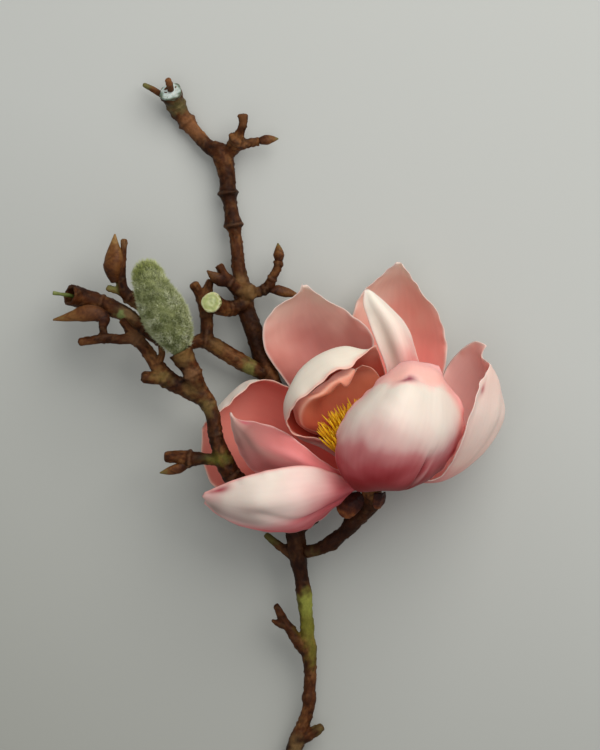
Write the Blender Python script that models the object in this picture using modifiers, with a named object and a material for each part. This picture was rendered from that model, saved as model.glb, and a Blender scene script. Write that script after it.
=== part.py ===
"""Saucer magnolia spray lying on a table: pushed-together twigs, buds and one open flower.

Frame: metres, +Z up, floor at z = 0, the stem running along Y with its cut end at -Y.
Every table below is in millimetres: (x, y, z, radius) for wood and buds, (x, y, z) for petal ribs.
"""

import math

import bmesh
import bpy
import numpy as np
from mathutils import Vector

# Driving dimensions, mm
PETAL_THICKNESS = 1.1
SCALE_THICKNESS = 0.9
GAP = 0.3
SHIFT = (0.0, 1.5, 0.0)
FLOWER_BASE = (39.0, -6.7, 41.2)
FLOWER_AXIS = (-0.295, 0.875, 0.384)
# Whorls: (distance along the flower axis, distance from it)
OUTER = (2.6, 5.8)
MIDDLE = (6.0, 4.7)
INNER = (9.5, 3.3)
ALONG, ACROSS = 11, 9

MM = 0.001
for old in list(bpy.data.objects):
    bpy.data.objects.remove(old, do_unlink=True)
part = bpy.data.collections.new("saucer_magnolia_branch")
bpy.context.scene.collection.children.link(part)


# --- Helpers ---------------------------------------------------------------
def material(name, colour, roughness):
    mat = bpy.data.materials.new(name)
    mat.use_nodes = True
    shader = mat.node_tree.nodes["Principled BSDF"]
    shader.inputs["Base Color"].default_value = (*colour, 1)
    shader.inputs["Roughness"].default_value = roughness
    shader.inputs["Metallic"].default_value = 0.0
    mat.diffuse_color = (*colour, 1)
    return mat


def add_object(name, mesh):
    obj = bpy.data.objects.new(name, mesh)
    part.objects.link(obj)
    return obj


def evaluated_mesh(obj):
    graph = bpy.context.evaluated_depsgraph_get()
    return bpy.data.meshes.new_from_object(obj.evaluated_get(graph))


def clean(mesh, distance=1e-5):
    work = bmesh.new()
    work.from_mesh(mesh)
    bmesh.ops.remove_doubles(work, verts=work.verts, dist=distance)
    bmesh.ops.dissolve_degenerate(work, edges=work.edges, dist=distance / 2)
    bmesh.ops.recalc_face_normals(work, faces=work.faces)
    work.to_mesh(mesh)
    work.free()
    return mesh


def tube(name, path, roundness=2, grow=0.0):
    """Round bar along a path of (x, y, z, radius), capped; grow fattens and lengthens it."""
    path = [list(p) for p in path]
    if grow:
        for end, inner in ((0, 1), (-1, -2)):
            out = Vector(path[end][:3]) - Vector(path[inner][:3])
            out.normalize()
            path[end][:3] = Vector(path[end][:3]) + out * grow
    curve = bpy.data.curves.new(name, "CURVE")
    curve.dimensions = "3D"
    curve.bevel_depth = MM
    curve.bevel_resolution = roundness
    curve.use_fill_caps = True
    line = curve.splines.new("POLY")
    line.points.add(len(path) - 1)
    for point, (x, y, z, radius) in zip(line.points, path):
        point.co = ((x + SHIFT[0]) * MM, (y + SHIFT[1]) * MM, (z + SHIFT[2]) * MM, 1)
        point.radius = radius + grow
    bent = add_object(name + "_curve", curve)
    mesh = clean(evaluated_mesh(bent))
    bpy.data.objects.remove(bent, do_unlink=True)
    mesh.name = name
    return add_object(name, mesh)


def combine(obj, others, operation):
    """Boolean of obj with each of the others, applied; the others are removed."""
    for other in others:
        modifier = obj.modifiers.new(operation.title(), "BOOLEAN")
        modifier.operation = operation
        modifier.solver = "EXACT"
        modifier.object = other
        mesh = clean(evaluated_mesh(obj))
        obj.modifiers.clear()
        obj.data = mesh
        bpy.data.objects.remove(other, do_unlink=True)
    return obj


def wood(name, mat, trunk, twigs=(), clear_of=()):
    """A trunk tube with its side twigs joined on, kept GAP away from the given paths."""
    obj = tube(name, trunk)
    joined = [tube(f"{name}_twig{i}", path) for i, path in enumerate(twigs)]
    combine(obj, joined, "UNION")
    cutters = [tube(f"{name}_clear{i}", path, grow=GAP) for i, path in enumerate(clear_of)]
    combine(obj, cutters, "DIFFERENCE")
    obj.data.materials.append(mat)
    obj.data.shade_smooth()
    obj.data.set_sharp_from_angle(angle=math.radians(40))
    return obj


def spline(points, count):
    """Smooth curve through the points, sampled at even lengths."""
    p = np.array(points, float)
    h = np.linalg.norm(np.diff(p, axis=0), axis=1)
    knots = np.concatenate([[0], np.cumsum(h)])
    rise = np.diff(p, axis=0) / h[:, None]
    slope = np.empty_like(p)
    slope[0], slope[-1] = rise[0], rise[-1]
    w = h[:, None]
    slope[1:-1] = (rise[:-1] * w[1:] + rise[1:] * w[:-1]) / (w[1:] + w[:-1])
    t = np.linspace(0, knots[-1], 400)
    i = np.clip(np.searchsorted(knots, t, side="right") - 1, 0, len(h) - 1)
    s = ((t - knots[i]) / h[i])[:, None]
    step = h[i][:, None]
    fine = (
        (2 * s**3 - 3 * s**2 + 1) * p[i]
        + (s**3 - 2 * s**2 + s) * step * slope[i]
        + (3 * s**2 - 2 * s**3) * p[i + 1]
        + (s**3 - s**2) * step * slope[i + 1]
    )
    length = np.concatenate([[0], np.cumsum(np.linalg.norm(np.diff(fine, axis=0), axis=1))])
    even = np.linspace(0, length[-1], count)
    return np.stack([np.interp(even, length, fine[:, k]) for k in range(3)], axis=1)


axis = Vector(FLOWER_AXIS).normalized()
towards_up = (Vector((0, 0, 1)) - axis * axis.z).normalized()
towards_side = axis.cross(towards_up)


def around_flower(angle, whorl):
    """The point of a whorl at an angle, counted from the flower's right side over its top."""
    turn = math.radians(angle)
    along, out = whorl
    centre = Vector(FLOWER_BASE) + axis * along
    return tuple(centre + (towards_side * math.cos(turn) + towards_up * math.sin(turn)) * out)


def shell(name, mat, ribs, thickness, along=ALONG, across=ACROSS):
    """Thin leaf-like shell: a skin lofted across ribs that run from base to tip."""
    rows = np.stack([spline(rib, along) for rib in ribs], axis=1)
    grid = np.stack([spline(row, across) for row in rows])
    grid = (grid + np.array(SHIFT)) * MM
    corner = [(i, j) for i in range(along - 1) for j in range(across - 1)]
    faces = [
        (i * across + j, i * across + j + 1, (i + 1) * across + j + 1, (i + 1) * across + j)
        for i, j in corner
    ]
    mesh = bpy.data.meshes.new(name)
    mesh.from_pydata([tuple(v) for v in grid.reshape(-1, 3)], [], faces)
    obj = add_object(name, mesh)
    solid = obj.modifiers.new("Thickness", "SOLIDIFY")
    solid.thickness = thickness * MM
    solid.offset = 0
    mesh.materials.append(mat)
    mesh.shade_smooth()
    return obj


def petal(name, mat, whorl, angles, ribs):
    """Petal whose ribs fan out from a short arc of its whorl, first rib at angles[0]."""
    starts = np.linspace(angles[0], angles[1], len(ribs))
    full = [[around_flower(angle, whorl), *rib] for angle, rib in zip(starts, ribs)]
    return shell(name, mat, full, PETAL_THICKNESS)


# --- Materials ---------------------------------------------------------------
BARK = material("bark", (0.105, 0.042, 0.020), 0.62)
BUD_BROWN = material("bud_brown", (0.18, 0.085, 0.035), 0.58)
FUZZ = material("bud_fuzz", (0.27, 0.31, 0.19), 0.95)
GREEN_CUT = material("green_cut", (0.42, 0.52, 0.16), 0.45)
GREEN_WIRE = material("green_wire", (0.17, 0.22, 0.05), 0.5)
GLUE = material("glue", (0.62, 0.66, 0.60), 0.35)
PETAL_PALE = material("petal_pale", (0.80, 0.68, 0.60), 0.5)
PETAL_PINK = material("petal_pink", (0.72, 0.33, 0.30), 0.5)
PETAL_SALMON = material("petal_salmon", (0.60, 0.22, 0.18), 0.5)
STAMEN = material("stamen", (0.72, 0.36, 0.05), 0.6)
CALYX = material("calyx", (0.16, 0.09, 0.03), 0.6)

# --- Wood: main stem and the branches that push into it -------------------------
main_path = [
    (0, -174, 3.6, 3.6), (2.5, -147, 5, 3.4), (4.5, -131.5, 7, 3.4), (7.5, -121, 8.5, 3.7),
    (11.5, -110, 10, 2.8), (13, -102, 11, 3.2), (13.5, -92, 12, 2.8), (13, -82, 13.5, 3.4),
    (12.5, -78, 14, 3.7), (12, -69, 15, 3.1), (11, -58, 16, 3.2), (10.5, -53, 16.5, 3.6),
    (9.5, -47, 17, 3.2), (8.5, -41, 18, 3.8), (7.5, -35.5, 19, 4.2), (7, -29, 20, 4.3),
    (6, -24, 19, 4.3),
]
main_twigs = [
    [(12, -81, 13.5, 2.8), (7.5, -75.5, 15, 2.5), (5, -71, 15.5, 2.4), (2, -67, 16, 2.0),
     (0, -63, 16.5, 1.8), (-1.5, -59.5, 17, 1.3)],
    [(4, -69.5, 15.8, 1.5), (-0.5, -68, 16, 1.7), (-3.5, -66.5, 16, 0.6)],
    [(9, -120, 9, 2.8), (15, -116.5, 10, 2.5), (18.5, -114, 10.5, 2.1)],
    [(7, -39, 18.5, 2.4), (1, -34.5, 17.5, 2.0), (-3, -31.5, 17, 1.8), (-6, -29, 16.5, 1.5)],
    [(9, -27.5, 20, 1.8), (13, -25, 20.5, 1.2), (17.5, -22.5, 21, 0.5)],
]
upper_path = [
    (6, -24, 18.5, 3.9), (4.5, -20, 16.5, 4.2), (2.5, -5, 11, 4.2), (-0.5, 17, 9, 4.2),
    (-4.3, 40, 9, 4.3), (-8.8, 52, 9, 4.1), (-12.2, 63, 9, 4.0), (-15, 70.5, 9, 4.0),
    (-16, 77.5, 9, 4.6), (-18, 87.5, 8.5, 3.2), (-19, 98.5, 8.5, 2.9), (-19.7, 104, 8.5, 2.8),
    (-20.5, 107.5, 8.5, 4.2), (-21.5, 114, 8, 3.4), (-22.8, 121.5, 8, 4.4), (-23, 127, 8, 3.7),
    (-24.5, 135, 7.5, 4.6), (-26.5, 139.5, 7, 4.4), (-31, 141.5, 6.3, 3.2),
    (-36, 147, 5.2, 3.1), (-41, 153, 4.2, 4.2), (-45, 158.5, 5, 4.2), (-47, 163, 8, 4.7),
    (-47.6, 165, 11, 5.4),
]
upper_twigs = [
    [(-46, 161.5, 6.5, 1.9), (-51, 164.2, 7.2, 1.5), (-56.5, 167.5, 7.8, 1.4), (-60.5, 169.5, 8, 1.0)],
    [(-25, 136.5, 7.5, 3.0), (-21, 141, 9, 3.4), (-18.5, 144, 11, 4.2)],
    [(-18.5, 144, 10.5, 2.8), (-17.5, 147.5, 13, 2.2), (-16, 152, 15, 2.0), (-16, 155, 15.5, 2.4)],
    [(-19, 142, 9.5, 2.8), (-13, 143.5, 10, 2.0), (-9.5, 144, 10, 2.1)],
    [(-17, 77, 10, 3.6), (-13.5, 77.5, 12.5, 4.3), (-12.5, 77.5, 14, 3.6)],
    [(-13, 77, 11, 2.8), (-8, 78, 11, 2.4), (-5, 79.5, 11, 2.6), (-3.5, 83, 12, 2.2),
     (-1, 88, 13, 2.0), (-0.3, 91, 13.5, 2.1)],
    [(-17, 77.5, 11, 3.4), (-19.5, 79.5, 13, 3.0), (-22.5, 82.5, 15, 2.6), (-25, 86, 16, 2.2),
     (-26, 89, 16.5, 2.1)],
    [(-15.5, 72.5, 11, 3.4), (-20, 70.5, 14, 3.5), (-24.5, 70.3, 18, 3.7), (-28, 71.8, 22, 4.3),
     (-29, 72.3, 24.5, 4.6)],
]
middle_path = [
    (-5.5, 40.5, 10, 3.2), (-9.5, 43, 11, 3.4), (-17.5, 47, 12, 3.7), (-24, 51, 13, 3.7),
    (-29, 54, 14, 3.5), (-33.5, 56, 15, 3.2), (-38.5, 55, 16, 2.8), (-46, 56, 17, 3.0),
    (-52.5, 57, 18, 3.0), (-59, 61, 19, 3.2), (-67.5, 67.5, 20, 3.6), (-75, 71, 20.5, 3.9),
    (-83, 73.8, 21, 4.3), (-87.6, 74.9, 22.3, 4.7), (-91.8, 76, 25.1, 4.9),
]
middle_twigs = [
    [(-32, 55.5, 14.5, 2.9), (-32, 61, 13.5, 2.8), (-32.2, 67, 12.5, 2.9), (-33.7, 72.5, 12.5, 2.6),
     (-35.7, 77.5, 14, 2.3), (-37.5, 81, 15, 2.4)],
    [(-33.5, 73, 12.8, 2.1), (-31.5, 79, 13.3, 2.2), (-30.5, 82.5, 14, 1.7)],
    [(-52, 57.5, 18.2, 2.7), (-56.5, 66, 20.5, 2.8), (-60, 71, 21.5, 2.8), (-65, 74.5, 22, 2.8),
     (-68, 78, 22.5, 2.6), (-69, 83.5, 23, 2.4), (-68.6, 90, 24, 2.0)],
    [(-68.8, 86, 23.6, 1.8), (-67.8, 94.5, 25, 1.4), (-67.7, 100, 25, 1.6)],
    [(-66, 75.5, 22, 1.9), (-70.5, 77.5, 22, 1.6), (-75, 79, 22, 1.6)],
]
hollow_end = [(-84.5, 74.1, 21.3, 2.8), (-87.6, 74.9, 22.3, 2.9), (-94.5, 76.6, 26.9, 3.1)]
left_path = [
    (6, -26, 20, 3.9), (-2, -18, 27, 3.8), (-12, -9.5, 33, 3.8), (-20.5, -2, 36, 4.2),
    (-24.5, 6.5, 37, 3.6), (-27.5, 15, 37, 3.3), (-28.5, 22.5, 36, 3.3), (-31, 29, 35, 3.8),
    (-35.5, 33.5, 34, 4.6), (-42, 36, 33, 3.9), (-49.5, 40, 32, 4.2), (-53, 45, 31, 3.4),
    (-56, 49.5, 30, 2.9), (-59, 53.5, 29, 2.9), (-62, 56.5, 28.5, 3.0), (-69, 56.5, 28, 2.2),
    (-76, 57, 27.5, 2.3), (-81.5, 56, 27, 1.8), (-87, 55.5, 26.5, 2.0),
]
cup_path = [(-34.5, 34, 34.5, 3.8), (-36.5, 39.5, 36.5, 3.9), (-39.3, 45.5, 37.5, 4.0),
            (-41.3, 49, 37.9, 4.8), (-42.7, 51.5, 38.1, 5.7)]
left_twigs = [
    cup_path,
    [(-50, 40, 31.5, 3.1), (-55.5, 39.8, 34, 2.7), (-58.5, 40, 35, 2.7)],
    [(-61.5, 56, 28.5, 2.5), (-65, 60.5, 27, 2.1), (-68.5, 65, 26, 1.7)],
    [(-76, 57, 27.5, 2.0), (-76.7, 61.5, 27, 1.8), (-77, 64, 27, 2.1)],
    [(-22.5, 3, 36.5, 2.8), (-30, 4.8, 36, 2.4), (-36.3, 4.8, 36, 3.2), (-38.5, 4.8, 36, 3.9),
     (-42.8, 5.6, 36, 3.0), (-49, 5.6, 36, 2.6)],
    [(-52.5, 45.5, 32, 1.6), (-50.8, 50, 33.5, 1.5), (-51.8, 55, 34, 0.8)],
]
stalk_path = [
    (7.5, -37, 19, 3.3), (17, -35, 22, 2.9), (23.5, -31.3, 25, 3.6), (28.5, -27, 27.5, 3.1),
    (32, -23, 30, 3.9), (36, -19.5, 32.5, 3.3), (39.2, -15.5, 35, 3.8), (40.4, -11.5, 38, 4.2),
    (39.2, -7.2, 41, 4.5),
]
wood("main_stem", BARK, main_path, main_twigs)
wood("upper_branch", BARK, upper_path, upper_twigs, [main_path])
middle = wood("middle_twig", BARK, middle_path, middle_twigs, [upper_path])
combine(middle, [tube("bore", hollow_end)], "DIFFERENCE")
wood("left_branch", BARK, left_path, left_twigs, [main_path, upper_path])
wood("flower_stalk", BARK, stalk_path, (), [main_path])

# --- Buds, pegs and cut faces ------------------------------------------------------
fuzzy = tube("fuzzy_bud", [
    (-43.2, 52.6, 38.6, 4.6), (-44.2, 56.5, 40, 7.4), (-46, 61.5, 42, 9.3), (-48.4, 66, 43.2, 10.2),
    (-51, 71, 44, 9.9), (-53.4, 75.5, 44.7, 8.7), (-55.2, 79.5, 45, 7.6), (-56.8, 84, 45, 6.8),
    (-57.9, 87.3, 45, 5.4), (-58.4, 89.0, 45, 3.9), (-58.7, 90.2, 45, 1.8)], roundness=4)
combine(fuzzy, [tube("cup_clear", cup_path, grow=GAP)], "DIFFERENCE")
fuzzy.data.materials.append(FUZZ)
fuzzy.data.shade_smooth()

wood("tall_bud", BUD_BROWN, [
    (-72, 82.2, 23.9, 1.7), (-72.3, 84.5, 24, 2.6), (-72.3, 87.5, 24.7, 3.9), (-72, 91, 25, 4.3),
    (-71.8, 95, 25, 3.3), (-71.7, 99, 25, 1.7), (-71.6, 102.5, 25, 0.5)], (),
    [middle_twigs[2], middle_twigs[3]])
wood("long_left_bud", BUD_BROWN, [
    (-75, 65.6, 27, 1.9), (-78.3, 67, 27, 3.0), (-82.3, 67.5, 27, 3.6), (-87, 67, 27, 3.1),
    (-91.5, 66, 27, 2.2), (-98.4, 65, 27, 0.5)], (), [left_twigs[3]])
wood("top_right_bud", BUD_BROWN, [
    (-8, 144.3, 10, 1.9), (-5.5, 144.7, 10, 2.3), (-3, 145, 10, 1.6), (-0.7, 145.2, 10, 0.5)], (),
    [upper_twigs[3]])
wood("knot_upright_bud", BUD_BROWN, [
    (-0.2, 91.8, 13.6, 2.0), (-0.2, 94, 13.8, 2.5), (-0.4, 96.5, 14, 1.7), (-0.7, 98.8, 14, 0.5)],
    (), [upper_twigs[5]])
wood("knot_side_bud", BUD_BROWN, [
    (-3.6, 78.6, 11, 1.5), (-0.5, 78.2, 11, 2.3), (3.5, 77.2, 11, 2.2), (9, 75.8, 11, 0.5)], (),
    [upper_twigs[5]])
wood("knot_left_bud", BUD_BROWN, [
    (-23.2, 81.5, 15.2, 2.0), (-26.5, 83, 17, 2.9), (-29, 84.5, 18.6, 2.2), (-31.5, 86.5, 19.6, 0.6)],
    (), [upper_twigs[6]])
wood("low_left_bud", BUD_BROWN, [
    (-40, 2.6, 36, 1.8), (-43.5, 0.8, 36, 2.3), (-47, -0.2, 36, 2.0), (-51.5, -1.3, 36, 0.5)], (),
    [left_twigs[4]])

top_face = (Vector(upper_path[-1][:3]) - Vector(upper_path[-2][:3])).normalized()
top_end = Vector(upper_path[-1][:3])
glue = tube("glue_disc", [(*(top_end + top_face * 0.5), 4.8), (*(top_end + top_face * 1.8), 4.4)])
glue.data.materials.append(GLUE)
peg_start = top_end + top_face * 2.7
wood("top_peg", BARK, [(*peg_start, 1.6), (-48.2, 168.2, 15, 1.4), (-48.8, 170.6, 17, 1.5)])
stub = upper_twigs[7]
stub_face = (Vector(stub[-1][:3]) - Vector(stub[-2][:3])).normalized()
stub_end = Vector(stub[-1][:3])
cut = tube("green_cut_face", [
    (*(stub_end + stub_face * 0.3), 4.5), (*(stub_end + stub_face * 1.3), 4.3)])
cut.data.materials.append(GREEN_CUT)
wire = tube("green_wire", [
    (-86.4, 74.6, 22.2, 1.1), (-91.2, 75.8, 24.9, 1.1), (-95.2, 76.4, 27.2, 1.0), (-98.3, 76.8, 28.2, 0.9)])
wire.data.materials.append(GREEN_WIRE)

# --- Flower: receptacle, stamens, scales ---------------------------------------------
def on_axis(along, radius):
    return (*(Vector(FLOWER_BASE) + axis * along), radius)


receptacle = tube("receptacle", [
    on_axis(0, 4.5), on_axis(3, 4.7), on_axis(4.6, 4.0), on_axis(7, 3.6), on_axis(8.6, 2.6),
    on_axis(10, 2.3), on_axis(12, 1.8)], roundness=4)
combine(receptacle, [tube("stalk_clear", stalk_path, grow=GAP)], "DIFFERENCE")
receptacle.data.materials.append(CALYX)
tuft = tube("stamen_tuft", [
    on_axis(12.4, 1.8), on_axis(16, 3.0), on_axis(22, 5.4), on_axis(28, 7.2), on_axis(33, 7.6),
    on_axis(37, 6.4), on_axis(39.5, 4.0)], roundness=4)
tuft.data.materials.append(STAMEN)
shell("left_scale", BUD_BROWN, [
    [(34.6, -9, 39), (30, -10, 38.5), (25, -14.5, 38), (25.5, -18, 37.5), (27.3, -19.5, 37)],
    [(35, -12, 40), (32, -13.5, 40.5), (29, -16.5, 40), (28, -19.7, 37.5)],
    [(35.2, -14.6, 38), (33.5, -16, 38), (31, -18.5, 37.5), (29, -20, 37)]],
    SCALE_THICKNESS, 7, 6)
shell("right_scale", BUD_BROWN, [
    [(41, -9.5, 45.4), (41, -13, 44.4), (41, -16, 41.8), (42, -18.5, 39.6)],
    [(44.8, -9.5, 44.2), (44.8, -12.5, 43.2), (44.7, -16, 40.8), (43.4, -18.7, 38.9)],
    [(46.2, -9, 41.5), (46.8, -12, 40.5), (46, -16, 38.5), (44.4, -18.5, 37.8)]],
    SCALE_THICKNESS, 7, 6)

# --- Petals, outer whorl ---------------------------------------------------------------
petal("petal_front", PETAL_PALE, OUTER, (94, 50), [
    [(26, -1, 59), (24, 9, 61), (26, 21, 64), (35, 32, 64), (45, 41, 58), (50, 45, 56)],
    [(32, -7, 61), (30, 6, 75), (33, 20, 80), (41, 32, 79), (48, 40, 70), (52, 46, 57)],
    [(43, -7, 66), (45, 5, 84), (48, 20, 91), (51, 33, 88), (54, 41, 76), (57, 47, 58)],
    [(55, -7, 60), (61, 5, 76), (65, 20, 82), (66, 31, 77), (64, 41, 68), (62, 46, 57)],
    [(65, -3, 52), (74, 7, 54), (79, 22, 56), (77, 30, 56), (72, 36, 55), (68, 45, 55)]])
petal("petal_right", PETAL_PALE, OUTER, (25, -30), [
    [(68, -3, 46), (75, 8, 60), (80, 23, 66), (85, 37, 62), (88.4, 42.5, 54)],
    [(72, -5, 34), (89, 8, 28), (98, 25, 30), (96, 37, 38), (90.3, 45.5, 50)],
    [(69, 4, 29.5), (82, 20, 23), (88.5, 36, 26), (89.5, 44, 34), (86.4, 49.2, 43.5)],
    [(63, 13, 26), (68, 30, 20), (74, 46, 21), (80.5, 53.3, 29), (86.2, 55.3, 41), (88.6, 53.6, 45.5)]])
petal("petal_back_right", PETAL_SALMON, OUTER, (282, 312), [
    [(34, 17, 24), (31, 39, 13), (31, 63, 12), (36, 77, 16), (46, 86, 22), (51, 90, 28)],
    [(48, 17, 18), (52, 39, 6), (54, 61, 0.35), (55, 79, 8), (53, 90, 26)],
    [(57, 13, 24), (69, 32, 12), (74, 52, 12), (70, 67, 16), (61, 79, 20), (54, 88, 26)]])
petal("petal_back_left", PETAL_PINK, OUTER, (235, 262), [
    [(22, 15, 21), (2, 39, 14), (-7, 54, 18), (-7, 63, 21), (0, 72, 25), (8, 77, 28), (10, 81, 30)],
    [(27, 18, 20), (16, 41, 11.5), (13, 59, 10), (11, 72, 18), (10, 80, 30)],
    [(36, 21, 30), (39, 43, 24), (41, 58, 22), (32, 67, 22), (19, 75, 26), (12, 80, 30)]])
petal("petal_left", PETAL_SALMON, OUTER, (215, 180), [
    [(21, 15, 29), (7, 34, 28), (-7, 39, 28), (-22, 28, 29), (-33, 19, 30)],
    [(16, 14, 25), (2, 33, 21), (-13, 38, 20), (-23, 31, 21), (-33, 19, 26)],
    [(13, 6, 24), (-4, 12, 17), (-20, 15, 17), (-34, 17, 28)],
    [(19, -6, 32), (2, -6, 25), (-15, -7, 23), (-28, -8, 24), (-33, 2, 25), (-34, 16, 28)]])
petal("petal_lower_left", PETAL_PALE, OUTER, (122, 162), [
    [(22, 0, 56), (11, 3, 63), (-4, 1, 64), (-18, -3, 60), (-32, -9, 52)],
    [(20, -9, 60), (7, -12, 67), (-8, -13, 66), (-21, -12, 58), (-33, -11, 51)],
    [(21, -15, 51), (7, -23, 54), (-8, -24, 52), (-22, -20, 50), (-32, -12, 50)],
    [(24, -16, 42), (9, -26, 38), (-6, -26, 36), (-21, -22, 40), (-32, -14, 46)]])

# --- Petals, inner whorls ----------------------------------------------------------------
petal("petal_small_left", PETAL_PINK, MIDDLE, (120, 150), [
    [(21, 3, 48), (9, 12, 49), (-2, 19, 48), (-10, 21, 46), (-18, 22, 44), (-21, 25, 42)],
    [(17, 1, 52), (5, 7, 56), (-7, 11, 56), (-15, 17, 50), (-21, 25, 43)],
    [(15, -4, 48), (0, -3, 49), (-11, 0, 48), (-18, 11, 46), (-21, 23, 42)]])
petal("petal_hood", PETAL_PALE, MIDDLE, (180, 290), [
    [(26, 9, 44.5), (19.2, 13.6, 47), (11.5, 14, 49.5), (6, 16.2, 52), (4, 20.5, 55.5), (4.6, 25, 60),
     (9, 30.2, 64), (14.4, 34.4, 65), (19.8, 39.3, 65), (24.3, 43, 64), (30.5, 43.9, 62),
     (32.5, 46.3, 59.5), (37, 50.3, 56), (40.8, 53.6, 54)],
    [(18, 10.6, 42), (9.2, 13.6, 43), (4.2, 19.4, 46), (2.8, 29, 49.5), (11, 45, 50), (28, 53, 50),
     (38, 52, 52), (41, 54, 53)],
    [(15, 17, 36), (13, 28, 35), (20, 37, 35), (28, 43, 37), (37, 48, 41), (41.5, 53.5, 50)],
    [(41, 17, 34), (44, 30, 33), (46, 40, 34), (44, 47, 38), (42, 52, 47)]])
petal("petal_nested", PETAL_SALMON, INNER, (205, 290), [
    [(22, 14.5, 43.5), (13.4, 16.6, 45.5), (9, 18.8, 48.5), (6.6, 22, 52), (6.4, 25.5, 57), (10.2, 29.8, 61.4),
     (15.3, 33.6, 62.6), (20.8, 38.2, 62.6), (25.2, 41.4, 61.6), (30, 42.2, 59.6), (32, 44.5, 56.5)],
    [(23, 15.5, 43), (14.8, 18, 45.5), (11.2, 20.2, 49.5), (9.4, 23, 53.5), (9.4, 26.8, 58),
     (12, 29.8, 61), (15.5, 31.7, 62), (19, 33.6, 62), (22, 36.7, 62.2), (25.4, 38.4, 61.6),
     (27.8, 36.9, 60.2), (30.6, 40, 58), (32.6, 43.2, 55.5)],
    [(28, 17, 40), (22, 24, 37), (21, 32, 38.5), (27, 39.5, 42), (34, 44, 48)],
    [(40, 17, 39), (43, 30, 38), (44, 38.5, 40), (41, 43, 43), (35.5, 45, 50)]])
petal("petal_inner_right", PETAL_PALE, MIDDLE, (60, 5), [
    [(42, 22, 47), (46, 43, 46), (42, 54, 46), (38, 65, 46), (36, 72, 46), (36.5, 77.5, 46.5)],
    [(51, 22, 50), (54, 39, 48), (53, 52, 49), (49, 62, 49), (42, 72, 48), (38, 78, 46)],
    [(58, 20, 42), (63, 35, 40), (60, 47, 40), (55, 62, 40), (48, 70, 42), (39.5, 77, 45)]])
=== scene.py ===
"""Looks of a saucer magnolia spray lying on a pale table, built round its CAD frame."""

import math

import bpy
import numpy as np
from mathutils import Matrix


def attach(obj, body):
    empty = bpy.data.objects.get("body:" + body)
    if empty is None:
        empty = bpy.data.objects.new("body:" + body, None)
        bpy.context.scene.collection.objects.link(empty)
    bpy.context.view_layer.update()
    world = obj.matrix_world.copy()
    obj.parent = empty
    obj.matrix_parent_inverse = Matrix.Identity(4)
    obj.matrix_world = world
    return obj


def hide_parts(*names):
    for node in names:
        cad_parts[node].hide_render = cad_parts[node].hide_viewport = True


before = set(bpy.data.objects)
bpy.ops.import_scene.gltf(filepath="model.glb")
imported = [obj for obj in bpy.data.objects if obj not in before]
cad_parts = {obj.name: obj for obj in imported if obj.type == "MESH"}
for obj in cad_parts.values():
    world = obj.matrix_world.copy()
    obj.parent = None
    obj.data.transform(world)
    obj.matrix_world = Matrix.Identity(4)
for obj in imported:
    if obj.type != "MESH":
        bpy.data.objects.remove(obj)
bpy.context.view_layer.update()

# --- Table, light and camera ---------------------------------------------------
# The spray lies on a pale matt table under a big soft window light from the upper
# right, with a weak fill, and the camera hangs straight above it.
MM = 0.001
TABLE_HALF, TABLE_DROP = 2, 0.0002
EYE_HEIGHT, EYE_LENS, EYE_FILM = 1.2, 129.5, 36
AIM = np.array([0.02, 0.02, 0.03])


def linear(red, green, blue):
    """Linear colour of an eight-bit display colour: each channel through the display curve."""
    c = np.array([red, green, blue], float) / 255
    return np.where(c <= 0.04045, c / 12.92, ((c + 0.055) / 1.055) ** 2.4)


def add_node(tree, kind, values=None, **settings):
    """New shader node with its settings, then its input values by name or number."""
    node = tree.nodes.new("ShaderNode" + kind)
    for key, value in settings.items():
        setattr(node, key, value)
    for key, value in (values or {}).items():
        node.inputs[key].default_value = value
    return node


def wire_up(tree, *links):
    """Joins node sockets pair by pair."""
    for out, into in links:
        tree.links.new(out, into)


def new_material(name, values):
    """Material whose Principled shader has the given input values, its node tree and that shader."""
    material = bpy.data.materials.new(name)
    material.use_nodes = True
    shader = material.node_tree.nodes["Principled BSDF"]
    for key, value in values.items():
        shader.inputs[key].default_value = value
    return material, material.node_tree, shader


def plain_mesh(name, points, faces):
    """Object at the origin from points in metres and index rows, shaded smooth."""
    mesh = bpy.data.meshes.new(name)
    mesh.from_pydata(np.asarray(points).tolist(), [], [list(f) for f in faces])
    mesh.update()
    mesh.shade_smooth()
    obj = bpy.data.objects.new(name, mesh)
    bpy.context.scene.collection.objects.link(obj)
    return obj


table_top = plain_mesh(
    "table_top", [(x * TABLE_HALF, y * TABLE_HALF, -TABLE_DROP)
                  for x, y in ((-1, -1), (1, -1), (1, 1), (-1, 1))], [(0, 1, 2, 3)])
table_paint, tree, shader = new_material("table_paint", {"Roughness": 0.85})
# The table is painted darker towards the lower left, a painted fall-off of the window light; the cloud noise
# varies its tone at random.
where = add_node(tree, "TexCoord")
fade = add_node(tree, "VectorMath", {1: (0.55, 1.0, 0)}, operation="DOT_PRODUCT")
cloud = add_node(tree, "TexNoise", {"Scale": 2.6, "Detail": 1.0})
blend = add_node(tree, "Math", {1: 0.12}, operation="MULTIPLY_ADD")
shift = add_node(tree, "Math", {1: 0.14}, operation="ADD")
tone = add_node(tree, "ValToRGB")
for stop, place, colour in zip(tone.color_ramp.elements, (0.0, 0.30), ((160, 160, 152), (188, 189, 184))):
    stop.position = place
    stop.color = (*linear(*colour), 1)
wire_up(tree, (where.outputs["Object"], cloud.inputs["Vector"]), (where.outputs["Object"], fade.inputs[0]),
        (cloud.outputs["Fac"], blend.inputs[0]), (fade.outputs["Value"], blend.inputs[2]),
        (blend.outputs["Value"], shift.inputs[0]), (shift.outputs["Value"], tone.inputs["Fac"]),
        (tone.outputs["Color"], shader.inputs["Base Color"]))
table_top.data.materials.append(table_paint)

world = bpy.data.worlds.new("room")
world.use_nodes = True
sky = world.node_tree.nodes["Background"].inputs
sky["Color"].default_value = (0.93, 0.97, 1.0, 1)
sky["Strength"].default_value = 0.38
bpy.context.scene.world = world


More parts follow.
